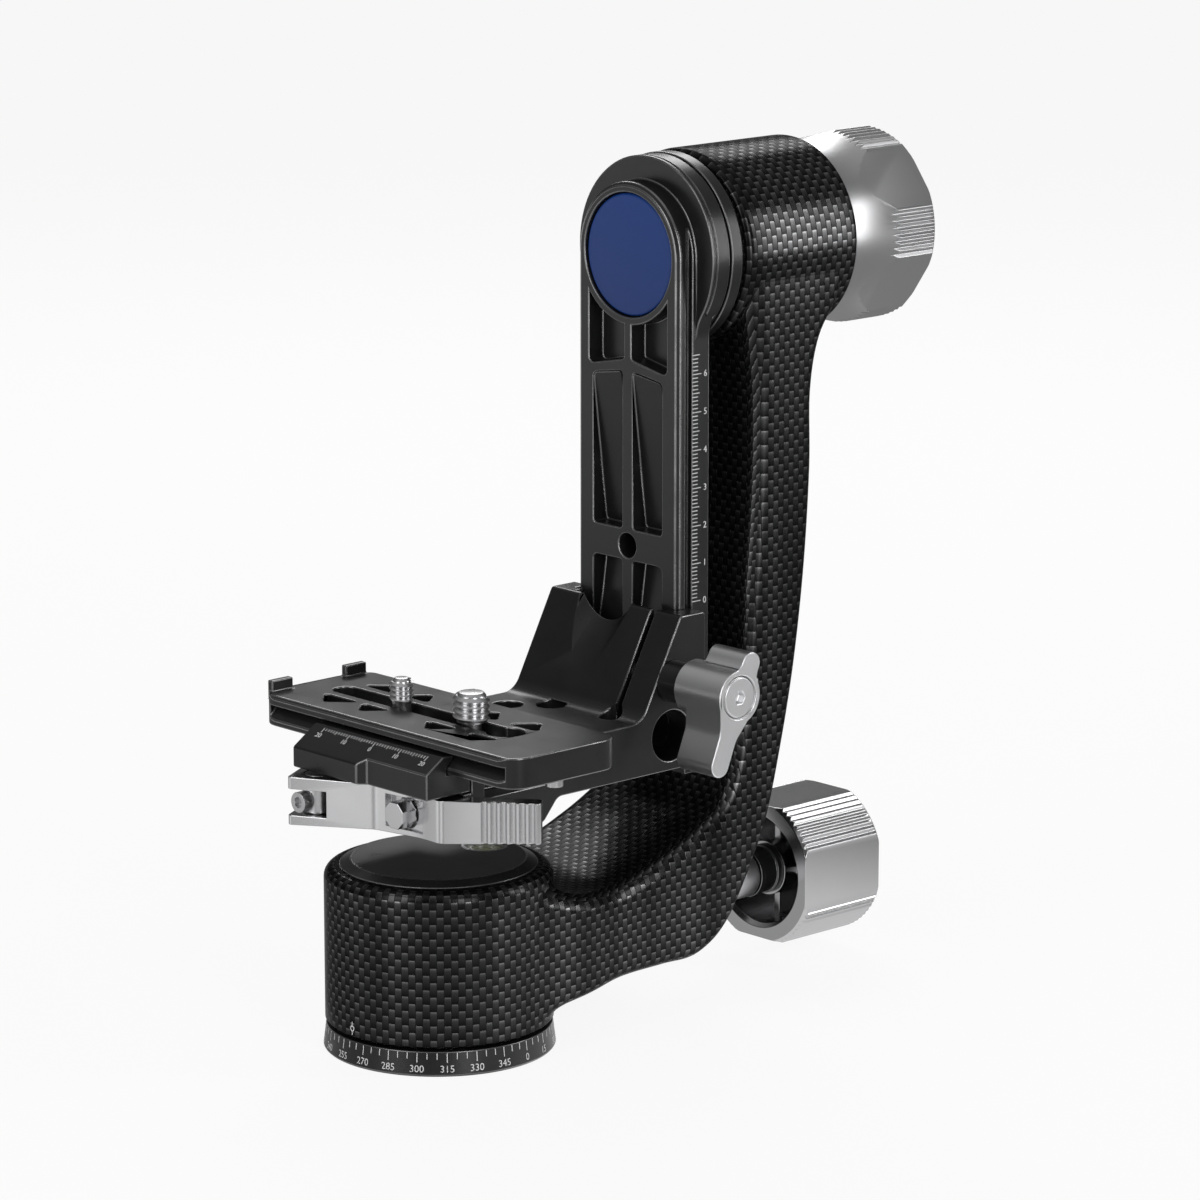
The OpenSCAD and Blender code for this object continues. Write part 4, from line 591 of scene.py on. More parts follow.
def grown(name, tree, **sizes):
    """Points and faces that a tree makes with these sizes."""
    holder = linked(name, bpy.data.meshes.new(name))
    modifier = holder.modifiers.new("tree", "NODES")
    modifier.node_group = tree
    for item in tree.interface.items_tree:
        if item.in_out == "INPUT":
            modifier[item.identifier] = sizes[item.name]
    return parts_of(plain_mesh(holder, name))


def parts_of(mesh):
    """A mesh as points and faces; the mesh itself is given up."""
    points = [v.co.copy() for v in mesh.vertices]
    faces = [tuple(f.vertices) for f in mesh.polygons]
    bpy.data.meshes.remove(mesh)
    return points, faces


def joined(*shapes):
    """Several shapes as one list of points and one of faces."""
    points, faces = [], []
    for more_points, more_faces in shapes:
        faces += [tuple(i + len(points) for i in f) for f in more_faces]
        points += [Vector(p) for p in more_points]
    return points, faces


def bars(g, count, spot, size, **values):
    """A small bar at each of a number of places."""
    line = g.shape("MeshLine", Count=count, Offset=(0, 0, 0))
    line = g.shape("SetPosition", Geometry=line, Position=spot)
    return g.shape("InstanceOnPoints", Points=line, Instance=g.shape("MeshCube", Size=size), **values)


def ring_marks():
    """Marks that hang from the top of a leaning ring, a long one each few places."""
    g, size = new_tree("ring_marks", {
        "Count": "Int", "Each": "Int", "Start": "Float", "Radius": "Float", "Lean": "Float", "Top": "Float",
        "Long": "Float", "Short": "Float", "Width": "Float", "Finish": "Material",
    })
    index = g.shape("InputIndex")
    turn = size["Start"] + index * (2 * math.pi) / size["Count"]
    reach = size["Short"] + (index % size["Each"] < 0.5) * (size["Long"] - size["Short"])
    height = size["Top"] - reach * 0.5
    radius = size["Radius"] - size["Lean"] * height
    spot = g.vector(radius * turn.cosine(), radius * turn.sine(), height)
    tilt = -g.math("ARCTANGENT", size["Lean"])
    facing = g.add("FunctionNodeEulerToRotation", None, {"Euler": g.vector(0.0, tilt, turn)})
    marks = bars(g, size["Count"], spot, g.vector(PRINT_THICK, size["Width"], 1.0),
                 Rotation=facing, Scale=g.vector(1.0, 1.0, reach))
    return close_tree(g, marks, size["Finish"])


def row_marks():
    """Marks in a row along X that rise along Y, each fifth and each tenth of them longer."""
    g, size = new_tree("row_marks", {
        "Count": "Int", "First": "Int", "Spacing": "Float", "Short": "Float", "Middle": "Float",
        "Long": "Float", "Width": "Float", "Finish": "Material",
    })
    place = g.shape("InputIndex") + size["First"]
    fifth = place % 5.0 < 0.5
    tenth = place % 10.0 < 0.5
    reach = size["Short"] + fifth * (size["Middle"] - size["Short"]) + tenth * (size["Long"] - size["Middle"])
    spot = g.vector(place * size["Spacing"], reach * 0.5, 0.0)
    marks = bars(g, size["Count"], spot, g.vector(size["Width"], 1.0, PRINT_THICK),
                 Scale=g.vector(1.0, reach, 1.0))
    return close_tree(g, marks, size["Finish"])


def thread_ridge():
    """A pointed ridge wound round an upright rod."""
    g, size = new_tree("thread_ridge", {
        "Radius": "Float", "Pitch": "Float", "Low": "Float", "High": "Float", "Depth": "Float",
        "Finish": "Material",
    })
    rise = size["High"] - size["Low"]
    spiral = g.shape("CurveSpiral", Resolution=40, Rotations=rise / size["Pitch"], Height=rise,
                     Start_Radius=size["Radius"], End_Radius=size["Radius"])
    spiral = g.shape("SetPosition", Geometry=spiral, Offset=g.vector(0.0, 0.0, size["Low"]))
    spiral = g.shape("SetCurveNormal", {"mode": "Z_UP"}, Curve=spiral)
    section = g.shape("CurvePrimitiveCircle", Resolution=4, Radius=size["Depth"])
    ridge = g.shape("CurveToMesh", Curve=spiral, Profile_Curve=section, Fill_Caps=True)
    return close_tree(g, ridge, size["Finish"])


def numerals(text, height):
    """Numerals as a thin flat shape, centred on the origin."""
    curve = bpy.data.curves.new("numerals", "FONT")
    curve.body = text
    curve.size = 1.0
    curve.resolution_u = 4
    curve.extrude = 0.02
    points, faces = parts_of(plain_mesh(linked("numerals", curve), "numerals"))
    across, up = [p.x for p in points], [p.y for p in points]
    middle = Vector((min(across) + max(across), min(up) + max(up), 0)) / 2
    scale = height / (max(up) - min(up))
    return [(p - middle) * scale for p in points], faces


def laid_on(shape, origin, right, up):
    """A flat shape laid on a plane, given the plane's two directions."""
    points, faces = shape
    right, up = Vector(right).normalized(), Vector(up).normalized()
    face_way = right.cross(up)
    return [Vector(origin) + right * p[0] + up * p[1] + face_way * p[2] for p in points], faces


def wound_on(shape, turn, height, radius, lean=0.0):
    """A flat shape bent round an upright ring that leans in as it rises."""
    points, faces = shape
    bent = []
    for x, y, z in points:
        reach = radius - lean * (height + y)
        angle = turn + x / reach
        bent.append(Vector(((reach + z) * math.cos(angle), (reach + z) * math.sin(angle), height + y)))
    return bent, faces


def flat_bar(low_x, high_x, low_y, high_y, thick):
    """A thin upright bar, in millimetres."""
    corners = [(x * MM, y * MM, z * MM)
               for z in (-thick, thick) for y in (low_y, high_y) for x in (low_x, high_x)]
    return corners, [(0, 2, 3, 1), (4, 5, 7, 6), (0, 1, 5, 4), (2, 6, 7, 3), (0, 4, 6, 2), (1, 3, 7, 5)]


# Carbon arm

def smooth_between(a, b, c, d, t):
    """Curve through b and c with a and d as neighbours."""
    return tuple(0.5 * (2 * q + (r - p) * t + (2 * p - 5 * q + 4 * r - s) * t * t
                        + (3 * q - p - 3 * r + s) * t ** 3) for p, q, r, s in zip(a, b, c, d))


def arm_rows(steps):
    """Sections along the arm, evenly fine."""
    last = len(ARM_SECTIONS) - 1
    rows = []
    for i in range(last):
        pick = [ARM_SECTIONS[max(0, min(last, k))] for k in (i - 1, i, i + 1, i + 2)]
        rows += [smooth_between(*pick, j / steps) for j in range(steps)]
    return rows + [ARM_SECTIONS[last]]


def arm_ring(row, rounding, corner_steps):
    """Points round one section, with the way each one faces across the arm and its face of the arm."""
    x0, z0, x1, z1, half = row
    deep = math.hypot(x1 - x0, z1 - z0)
    way = Vector(((x1 - x0) / deep, 0, (z1 - z0) / deep))
    ring = []
    for quarter in range(4):
        right = quarter in (0, 3)
        far = quarter < 2
        for k in range(corner_steps + 1):
            a = math.pi / 2 * (quarter + k / corner_steps)
            y = (half - rounding if right else rounding - half) + rounding * math.cos(a)
            d = (deep - rounding if far else rounding) + rounding * math.sin(a)
            point = Vector((x0, 0, z0)) + way * d + Vector((0, y, 0))
            facing = way * math.sin(a) + Vector((0, math.cos(a), 0))
            side = abs(math.cos(a)) > 0.7
            ring.append((point, facing, side))
    return ring


def trim_line(line, inside):
    """The part of a line that lies outside a shape, with the crossing point as its first point."""
    start = next(i for i, p in enumerate(line) if not inside(p))
    if start == 0:
        return line
    low, high = line[start - 1], line[start]
    for _ in range(30):
        mid = (low + high) / 2
        low, high = (mid, high) if inside(mid) else (low, mid)
    return [high] + line[start:]


def resampled(line, count):
    """The same line with points at even distances."""
    reach = [0.0]
    for a, b in zip(line, line[1:]):
        reach.append(reach[-1] + (b - a).length)
    result, k = [], 0
    for i in range(count):
        want = reach[-1] * i / (count - 1)
        while k < len(line) - 2 and reach[k + 1] < want:
            k += 1
        span = reach[k + 1] - reach[k]
        result.append(line[k].lerp(line[k + 1], (want - reach[k]) / span if span else 0.0))
    return result


def flared_foot(line, facing, reach, spread):
    """Bends the foot of a line so that it runs out on the wall of the cup."""
    foot = line[0]
    k = next(i for i, p in enumerate(line) if (p - foot).length > reach)
    radius = math.hypot(foot.x, foot.y)
    round_way = Vector((-foot.y, foot.x, 0)) / radius
    turn = facing.dot(round_way) * spread / radius
    angle = math.atan2(foot.y, foot.x) + turn
    lowest, highest, sunk = CUP_LOW + 0.9, CUP_TOP - 2.6, CUP_R - 0.05
    lift = max(lowest, min(highest, foot.z + facing.z * spread))
    skirt = Vector((sunk * math.cos(angle), sunk * math.sin(angle), lift))
    bend = [skirt * (1 - t) ** 2 + foot * (2 * t * (1 - t)) + line[k] * t ** 2
            for t in (i / 10 for i in range(10))]
    return bend + line[k:]


def arm_lines(corner_steps):
    """Lines that run along the arm from the cup's wall to the hub, and the face each one lies on."""
    s = settings().carbon
    rings = [arm_ring(row, s.edge_round / MM, corner_steps) for row in arm_rows(ARM_ROWS)]
    sunk, foot_row = 0.6, 14

    def in_cup(p):
        return math.hypot(p.x, p.y) < CUP_R

    def in_hub(p):
        return math.hypot(p.y, p.z - TILT_Z) < HUB_R - sunk and HUB_X + sunk < p.x < HUB_END - sunk

    lines, sides = [], []
    for k in range(len(rings[0])):
        line = [ring[k][0] for ring in rings]
        line = trim_line(line, in_cup)
        line = flared_foot(line, rings[foot_row][k][1], s.foot_reach / MM, s.foot_spread / MM)
        line = trim_line(line[::-1], in_hub)[::-1]
        lines.append(resampled(line, ARM_POINTS))
        sides.append(rings[0][k][2])
    return lines, sides


class GIMBAL_OT_carbon_arm(bpy.types.Operator):
    """Moulds the cup, the arm and the hub in woven carbon"""
    bl_idname = "gimbal.carbon_arm"
    bl_label = "Carbon arm"

    def execute(self, context):
        points, faces, maps = [], [], []

        def add(new_points, new_faces, new_maps):
            shift = len(points)
            points.extend(new_points)
            faces.extend([tuple(i + shift for i in f) for f in new_faces])
            maps.extend(new_maps)

        add(*self.shaft())
        carbon = settings().carbon
        add(*self.turned(cup_outline(), TURN_STEPS, "Z", (0, 0, 0), CUP_R, carbon.tow_width / MM))
        add(*self.turned(hub_outline(), TURN_STEPS, "X", (0, 0, TILT_Z), HUB_R, carbon.tow_length / MM))
        mesh = mesh_of("moulded_arm", points, faces)
        layer = mesh.uv_layers.new(name="weave")
        for face, places in zip(mesh.polygons, maps):
            for loop, place in zip(face.loop_indices, places):
                layer.data[loop].uv = place
        add_piece("moulded_arm", smooth(mesh, 50), "arm", "woven_carbon", "woven_carbon",
                  replaces=("arm_cup", "carbon_arm", "arm_hub"))
        return {"FINISHED"}

    @staticmethod
    def shaft():
        """The arm between cup and hub, its cloth flat on the flanks and along the inner and outer face."""
        lines, sides = arm_lines(ARM_CORNER)
        count, rows = len(lines), len(lines[0])
        points = [p * MM for line in lines for p in line]
        faces, maps = [], []
        for k in range(count):
            n = (k + 1) % count
            flank = sides[k] and sides[n]
            reach = 0.0
            for i in range(rows - 1):
                a, b, c, d = lines[k][i], lines[n][i], lines[n][i + 1], lines[k][i + 1]
                step = (c - b).length * 0.5 + (d - a).length * 0.5
                faces.append((k * rows + i, k * rows + i + 1, n * rows + i + 1, n * rows + i))
                if flank:
                    maps.append([(p.x, p.z) for p in (a, d, c, b)])
                else:
                    maps.append([(a.y, reach), (d.y, reach + step), (c.y, reach + step), (b.y, reach)])
                reach += step
        for row in (0, rows - 1):
            ring = [k * rows + row for k in range(count)]
            faces.append(tuple(ring if row == 0 else ring[::-1]))
            maps.append([(0, 0)] * count)
        return points, faces, maps

    @staticmethod
    def turned(outline, steps, axis, centre, radius, cell):
        """A turned end of the moulding, its cloth wound round it in step with the arm's near flank."""
        points, faces = revolved(outline, steps, axis, centre)
        run = [0.0]
        for a, b in zip(outline, outline[1:]):
            run.append(run[-1] + math.dist(a, b))
        count = len(outline)
        wall = next(i for i, p in enumerate(outline) if p[0] > radius - 1e-6)
        shift = outline[wall][1] - run[wall]
        around = 2 * round(math.pi * radius / cell) * cell / steps
        maps = []
        for f in faces:
            places = []
            for i, w in zip(f, (0, 1, 1, 0)):
                turn = f[0] // count + w
                along = run[i % count] + shift
                if axis == "Z":
                    places.append(((turn + steps / 4) * around, along))
                else:
                    places.append((along, TILT_Z + (steps / 2 - turn) * around))
            maps.append(places)
        if axis == "X":
            faces = [f[::-1] for f in faces]
            maps = [m[::-1] for m in maps]
        return points, faces, maps


def rounded_corner(cx, cy, radius, start, steps=8):
    """A quarter turn of an outline."""
    return [(cx + radius * math.cos(start + math.pi / 2 * i / steps),
             cy + radius * math.sin(start + math.pi / 2 * i / steps)) for i in range(steps + 1)]


def cup_outline():
    """Wall of the cup from its foot inside, round the outside and back down the bore."""
    rim_r, chamfer = 3, 0.6
    rim = rounded_corner(CUP_R - rim_r, CUP_TOP - rim_r, rim_r, 0)
    foot = [(CUP_BORE_R, CUP_LOW), (CUP_R - chamfer, CUP_LOW), (CUP_R, CUP_LOW + chamfer)]
    height = CUP_TOP - rim_r - chamfer - CUP_LOW
    wall = [(CUP_R, CUP_LOW + chamfer + height * i / 8) for i in range(1, 8)]
    return foot + wall + rim + [(CUP_BORE_R, CUP_TOP), (CUP_BORE_R, CUP_LOW)]


def hub_outline():
    """Wall of the hub as (radius, place along the tilt axis)."""
    edge_r = 2
    back = rounded_corner(HUB_R - edge_r, HUB_END - edge_r, edge_r, 0)
    front = rounded_corner(HUB_R - edge_r, HUB_X + edge_r, edge_r, -math.pi / 2)
    length = HUB_END - HUB_X - 2 * edge_r
    wall = [(HUB_R, HUB_X + edge_r + length * i / 6) for i in range(1, 6)]
    return [(HUB_BORE_R, HUB_X)] + front + wall + back + [(HUB_BORE_R, HUB_END), (HUB_BORE_R, HUB_X)]


# Pieces that keep the solid's shape

class GIMBAL_OT_black_parts(bpy.types.Operator):
    """Rounds the edges of the black anodised pieces and gives them their finish"""
    bl_idname = "gimbal.black_parts"
    bl_label = "Black pieces"

    def execute(self, context):
        for node, name, width, angle in (
            ("top_cap", "cap", 0.25, 18.0),
            ("platform_bracket", "bracket", 0.4, 62.0),
            ("base_ring", "dial_ring", 0.22, SHARP),
            ("hub_ring", "front_ring", 0.34, SHARP),
            ("swing_rail", "rail", 0.36, SHARP),
            ("clamp_jaw", "jaw", 0.36, SHARP),
            ("camera_plate", "plate", 0.4, SHARP),
            ("rail_end_stop", "end_stop", 0.2, SHARP),
            ("wing_washer", "lock_washer", 0.15, SHARP),
            ("stud_collar", "collar", 0.2, SHARP),
        ):
            # The rounded strips take a painted highlight: a lighter, more metallic copy of the black finish.
            dress(node, name, "black_anodised", "anodised_edge", width, angle)
        return {"FINISHED"}


class GIMBAL_OT_bright_parts(bpy.types.Operator):
    """Rounds the edges of the bright knobs and levers and gives them their finish"""
    bl_idname = "gimbal.bright_parts"
    bl_label = "Bright pieces"

    def execute(self, context):
        for node, name, finish, width in (
            ("tilt_knob", "tilt_grip", "tilt_knob_metal", 0.2),
            ("pan_knob", "pan_grip", "pan_knob_metal", 0.2),
            ("wing_knob", "wing_grip", "wing_knob_metal", 0.3),
            ("clamp_lever", "lever", "lever_metal", 0.2),
            ("lock_button", "button", "lever_metal", 0.25),
            ("tension_screw", "fork_screw", "steel", 0.15),
            ("lever_pin", "fork_pin", "steel", 0.15),
            ("plate_stop_screws", "stop_screws", "steel", 0.15),
        ):
            dress(node, name, finish, finish, width)
        return {"FINISHED"}


class GIMBAL_OT_inner_parts(bpy.types.Operator):
    """Gives the pieces inside and the small steel pieces their finish"""
    bl_idname = "gimbal.inner_parts"
    bl_label = "Inner pieces"

    def execute(self, context):
        for part in frame["record"]["subparts"]:
            solid = frame["nodes"][part["node"]]
            if solid.hide_render:
                continue
            key = part["material_slot"]
            if key == "bright_aluminium":
                key = "lever_metal"
            solid.data.materials.clear()
            solid.data.materials.append(finish_of(key))
        return {"FINISHED"}


# Scales

class GIMBAL_OT_dial_scale(bpy.types.Operator):
    """Prints the degrees on the dial ring and the mark that points at them on the cup"""
    bl_idname = "gimbal.dial_scale"
    bl_label = "Dial scale"

    def execute(self, context):
        s = settings().scale
        lean = DIAL_LEAN / DIAL_H
        zero = math.radians(DIAL_ZERO)
        radius = DIAL_FOOT_R * MM
        shapes = [grown("dial_marks", ring_marks(), Count=72, Each=3, Start=zero, Radius=radius, Lean=lean,
                        Top=DIAL_MARK_TOP * MM, Long=s.dial_long, Short=s.dial_short, Width=s.line_width,
                        Finish=finish_of("white_print"))]
        for degrees in range(0, 360, 15):
            turn = zero + math.radians(degrees)
            shape = numerals(str(degrees), s.dial_number)
            shapes.append(wound_on(shape, turn, DIAL_NUMBER_Z * MM, radius, lean))
        add_piece("dial_scale", mesh_of("dial_scale", *joined(*shapes)), "base", None, "white_print")
        half, (start, end) = INDEX_BAR_HALF, INDEX_BAR
        mark = joined(revolved(band(*INDEX_RING, -INDEX_THICK, INDEX_THICK), 32),
                      flat_bar(-half, half, start, end, INDEX_THICK),
                      flat_bar(-half, half, -end, -start, INDEX_THICK))
        mark = wound_on(mark, math.pi, INDEX_Z * MM, CUP_R * MM)
        add_piece("index_mark", close_up(mesh_of("index_mark", *mark)), "arm", None, "white_print")
        return {"FINISHED"}


class GIMBAL_OT_straight_scales(bpy.types.Operator):
    """Prints the height scale on the rail's side and the centring scale on the jaw"""
    bl_idname = "gimbal.straight_scales"
    bl_label = "Rail and jaw scales"

    def execute(self, context):
        s = settings().scale
        tree = row_marks()
        white = finish_of("white_print")
        marks = grown("rail_marks", tree, Count=66, First=0, Spacing=MM, Short=1.8 * MM, Middle=2.4 * MM,
                      Long=3.0 * MM, Width=s.line_width, Finish=white)
        zero = Vector((RAIL_MARK_X, RAIL_SIDE_Y - PRINT_LIFT, RAIL_ZERO_Z)) * MM
        shapes = [laid_on(marks, zero, (0, 0, 1), (1, 0, 0))]
        for centimetre in range(7):
            place = zero + Vector((RAIL_NUMBER_IN, 0, 10 * centimetre)) * MM
            shapes.append(laid_on(numerals(str(centimetre), s.rail_number), place, (1, 0, 0), (0, 0, 1)))
        add_piece("rail_scale", mesh_of("rail_scale", *joined(*shapes)), "swing", None, "white_print")
        marks = grown("jaw_marks", tree, Count=41, First=-20, Spacing=MM, Short=0.9 * MM, Middle=1.2 * MM,
                      Long=1.6 * MM, Width=0.7 * s.line_width, Finish=white)
        fall = Vector((JAW_FALL[0], 0, JAW_FALL[1])).normalized()
        outwards = Vector((fall.z, 0, -fall.x))
        edge = Vector((JAW_EDGE[0], 0, JAW_EDGE[1])) + fall * JAW_MARK_IN + outwards * PRINT_LIFT
        shapes = [laid_on(marks, edge * MM, (0, -1, 0), fall)]
        for millimetre in (-20, -10, 0, 10, 20):
            place = (edge + fall * JAW_NUMBER_IN + Vector((0, millimetre, 0))) * MM
            shapes.append(laid_on(numerals(str(abs(millimetre)), s.jaw_number), place, (0, -1, 0), -fall))
        add_piece("jaw_scale", mesh_of("jaw_scale", *joined(*shapes)), "jaw", None, "white_print")
        return {"FINISHED"}


# Small pieces

class GIMBAL_OT_camera_screws(bpy.types.Operator):
    """Cuts the threads of the two camera screws"""
    bl_idname = "gimbal.camera_screws"
    bl_label = "Camera screws"

    def execute(self, context):
        tree = thread_ridge()
        for node, name, body, y, radius, pitch, tip in (
            ("screw_quarter", "quarter_screw", "quarter_screw", 14.0, 3.175, 1.27, 94.4),
            ("screw_three_eighth", "wide_screw", "three_eighth_screw", -13.0, 4.76, 1.5875, 95.4),
        ):
            depth = RIDGE_SHARE * pitch
            ridge = grown(name, tree, Radius=(radius - depth) * MM, Pitch=pitch * MM, Depth=depth * MM,
                          Low=(PLATE_TOP + RIDGE_START) * MM, High=(tip - RIDGE_END) * MM,
                          Finish=finish_of("steel"))
            ridge = [p + Vector((0, y * MM, 0)) for p in ridge[0]], ridge[1]
            points, faces = merged_solid(node)
            keep = (radius - CORE_SHARE * pitch) / radius
            for p in points:
                if p.z > (PLATE_TOP + CORE_START) * MM:
                    p.x *= keep
                    p.y = y * MM + (p.y - y * MM) * keep
            core = parts_of(softened(name, points, faces, 0.15 * MM))
            mesh = smooth(mesh_of(name, *joined(core, ridge)), 30)
            add_piece(name, mesh, body, "steel", "steel", replaces=(node,))
        return {"FINISHED"}


class GIMBAL_OT_badge(bpy.types.Operator):
    """Makes the crowned enamel disc at the head of the rail"""
    bl_idname = "gimbal.badge"
    bl_label = "Badge"

    def execute(self, context):
        crowned, rise, edge_r = 0.94, 0.25, 0.6
        crown = [(BADGE_R * crowned * i / 12, BADGE_X - rise * (1 - (i / 12) ** 2)) for i in range(13)]
        edge = rounded_corner(BADGE_R - edge_r, BADGE_X + edge_r, edge_r, -math.pi / 2, 5)
        outline = crown + edge + [(BADGE_R, BADGE_X + BADGE_DEEP), (0, BADGE_X + BADGE_DEEP)]
        mesh = close_up(mesh_of("badge_disc", *revolved(outline, 96, "X", (0, 0, TILT_Z))))
        add_piece("badge_disc", smooth(mesh, 35), "swing", "blue_enamel", "blue_enamel", replaces=("badge",))
        return {"FINISHED"}


class GIMBAL_OT_level(bpy.types.Operator):
    """Fills the round level: liquid, bubble, ring and clear cover"""
    bl_idname = "gimbal.level"
    bl_label = "Round level"

    def execute(self, context):
        bubble_r, bubble_rise, dome = 1.9, 0.22, 0.3
        cover_low = LEVEL_FILL + 0.17
        pool = [(0, LEVEL_FOOT), (LEVEL_R, LEVEL_FOOT), (LEVEL_R, LEVEL_FILL - 0.18),
                (LEVEL_R - 0.2, LEVEL_FILL), (0, LEVEL_FILL)]
        arc = [math.pi * i / 10 for i in range(11)]
        bubble = [(bubble_r * math.sin(a), LEVEL_FILL - 0.02 - bubble_rise * math.cos(a)) for a in arc]
        ring = band(2.3, 2.55, LEVEL_FILL + 0.01, LEVEL_FILL + 0.04)
        crown = [(LEVEL_R * i / 10, LEVEL_TOP - dome * (i / 10) ** 2) for i in range(11)]
        cover = [(0, cover_low), (LEVEL_R, cover_low)] + crown[::-1]
        for name, outline, slot, finish, nodes in (
            ("level_pool", pool, "level_liquid", "level_liquid", ("level_fluid",)),
            # The bubble takes a painted highlight, a pale matte.
            ("level_bubble", bubble, "level_liquid", "level_bubble", ()),
            ("level_ring", ring, "level_liquid", "level_ink", ()),
            ("level_cover", cover, "level_glass", "level_glass", ("level_lens",)),
        ):
            mesh = close_up(mesh_of(name, *revolved(outline, 64, "Z", (LEVEL_X, 0, 0))))
            add_piece(name, smooth(mesh, 40), "arm", slot, finish, replaces=nodes)
        return {"FINISHED"}


# Stage

def floor_in_metal(g):
    """Painted reflections: patches of lighter and darker grey that the floor glows with where metal mirrors
    it.
    """
    x, y, _ = g.parts(g.place())
    reach = (x ** 2.0 + y ** 2.0) ** 0.5
    turn = g.math("ARCTAN2", y, -x) / math.pi + 0.5
    bands = g.ramp(turn, [(0.0, 0.32), (0.17, 0.4), (0.3, 0.8), (0.367, 0.22), (0.45, 0.95),
                          (0.544, 0.25), (0.633, 1.0), (0.678, 0.8), (0.83, 0.35), (1.0, 0.32)])
    near = g.ramp(turn, [(0.02, 0.95), (0.12, 0.5)])
    pool = g.mix(g.ramp(reach, [(0.18, 0.0), (0.26, 1.0)]), near, bands)
    pool = g.mix(g.ramp(reach, [(0.36, 0.0), (0.44, 1.0)]), pool, grey(settings().stage.floor_shine))
    left = g.ramp((y - x) * math.sqrt(0.5), [(0.42, 0.0), (0.6, 1.0)])
    pool = g.mix(left, pool, grey(1.0))
    front = g.ramp((x + y) * -math.sqrt(0.5), [(0.4, 0.0), (0.75, 1.0)])
    return g.mix(front, pool, grey(0.8))


def pale_floor(name):
    """Almost white to the eye, with the object's shadow, and glowing with patches of painted reflection, in
    grey, where metal mirrors it.
    """
    s = settings().stage
    g = new_finish(name)
    speck = g.noise(g.place(), 60.0, 3.0)
    tone = g.mix(speck, colour([c * 0.99 for c in s.floor]), colour(s.floor))
    matte = g.add("ShaderNodeBsdfDiffuse", None, {"Color": tone})
    glow = g.add("ShaderNodeEmission", None, {"Color": (1, 1, 1, 1), "Strength": 1.0})
    # Painted reflection: glossy rays see the floor glow with the grey patches instead of its own colour.
    mirrored = g.add("ShaderNodeEmission", None, {"Color": floor_in_metal(g), "Strength": 1.0})
    path = g.add("ShaderNodeLightPath")
    seen = g.math("MAXIMUM", path, path.out("Is Transmission Ray")) * s.floor_glow
    surface = g.add("ShaderNodeMixShader", None, {0: seen, 1: matte, 2: glow})
    surface = g.add("ShaderNodeMixShader", None, {0: path.out("Is Glossy Ray"), 1: surface, 2: mirrored})
    g.add("ShaderNodeOutputMaterial", None, {"Surface": surface})
    return g.material


class GIMBAL_OT_stage(bpy.types.Operator):
    """Sets up the floor, the light and the camera"""
    bl_idname = "gimbal.stage"
    bl_label = "Stage"

    def execute(self, context):
        scene = context.scene
        scene.view_settings.view_transform = "Standard"
        self.floor()
        self.world(scene)
        for name, spot, aim, size, power in (
            ("left", (-1.0, -0.08, 0.45), (0.0, 0, 0.1), (0.5, 1.0), 4.0),
            ("right", (-0.3, -1.15, 0.4), (0.02, 0, 0.1), (0.35, 0.9), 5.0),
            ("far_right", (0.85, -0.8, 0.4), (0.1, 0, 0.15), (0.25, 0.7), 3.2),
            ("back", (0.75, 0.75, 0.85), (0.05, 0, 0.12), (0.7, 0.5), 5.0),
        ):
            self.lamp(name, Vector(spot), Vector(aim), size, power * settings().stage.light)
        self.camera(scene)
        return {"FINISHED"}

    @staticmethod
    def floor():
        bm = bmesh.new()
        bmesh.ops.create_grid(bm, x_segments=24, y_segments=24, size=4.0)
        mesh = bpy.data.meshes.new("floor")
        bm.to_mesh(mesh)
        bm.free()
        floor = linked("floor", mesh)
        mesh.materials.append(pale_floor("pale_floor"))

    @staticmethod
    def world(scene):
        s = settings().stage
        world = bpy.data.worlds.new("studio")
        world.use_nodes = True
        world.node_tree.nodes.clear()
        g = Graph(world.node_tree)
        path = g.add("ShaderNodeLightPath")
        see = g.math("MAXIMUM", path, path.out("Is Transmission Ray"))
        _, _, up = g.parts(g.add("ShaderNodeTexCoord", None, None, "Generated"))
        sheen = g.ramp(up, [(0.0, s.floor_shine), (0.06, s.sky_gloss), (0.3, s.sky_gloss),
                            (0.7, s.sky_gloss * 3), (0.92, s.sky_gloss * 6)])
        plain = g.add("ShaderNodeBackground", None, {"Color": (1, 1, 1, 1), "Strength": s.sky})
        glossy = g.add("ShaderNodeBackground", None, {"Color": sheen, "Strength": 1.0})
        white = g.add("ShaderNodeBackground", None, {"Color": (1, 1, 1, 1), "Strength": 1.0})
        mixed = g.add("ShaderNodeMixShader", None, {0: path.out("Is Glossy Ray"), 1: plain, 2: glossy})
        mixed = g.add("ShaderNodeMixShader", None, {0: see, 1: mixed, 2: white})
        g.add("ShaderNodeOutputWorld", None, {"Surface": mixed})
        scene.world = world

    @staticmethod
    def lamp(name, spot, aim, size, power):
        data = bpy.data.lights.new(name, "AREA")
        data.shape = "RECTANGLE"
        data.size, data.size_y = size
        data.energy = power
        lamp = linked(name, data)
        lamp.location = spot
        lamp.visible_camera = False
        lamp.rotation_euler = (aim - spot).to_track_quat("-Z", "Y").to_euler()

    @staticmethod
    def camera(scene):
        s = settings().stage
        data = bpy.data.cameras.new("camera")
        data.sensor_width = 36.0
        data.lens = s.lens
        camera = linked("camera", data)
        level = math.cos(s.rise)
        back = Vector((math.sin(s.turn) * level, -math.cos(s.turn) * level, math.sin(s.rise)))
        camera.location = s.camera
        camera.rotation_euler = (-back).to_track_quat("-Z", "Y").to_euler()
        scene.camera = camera


# Settings

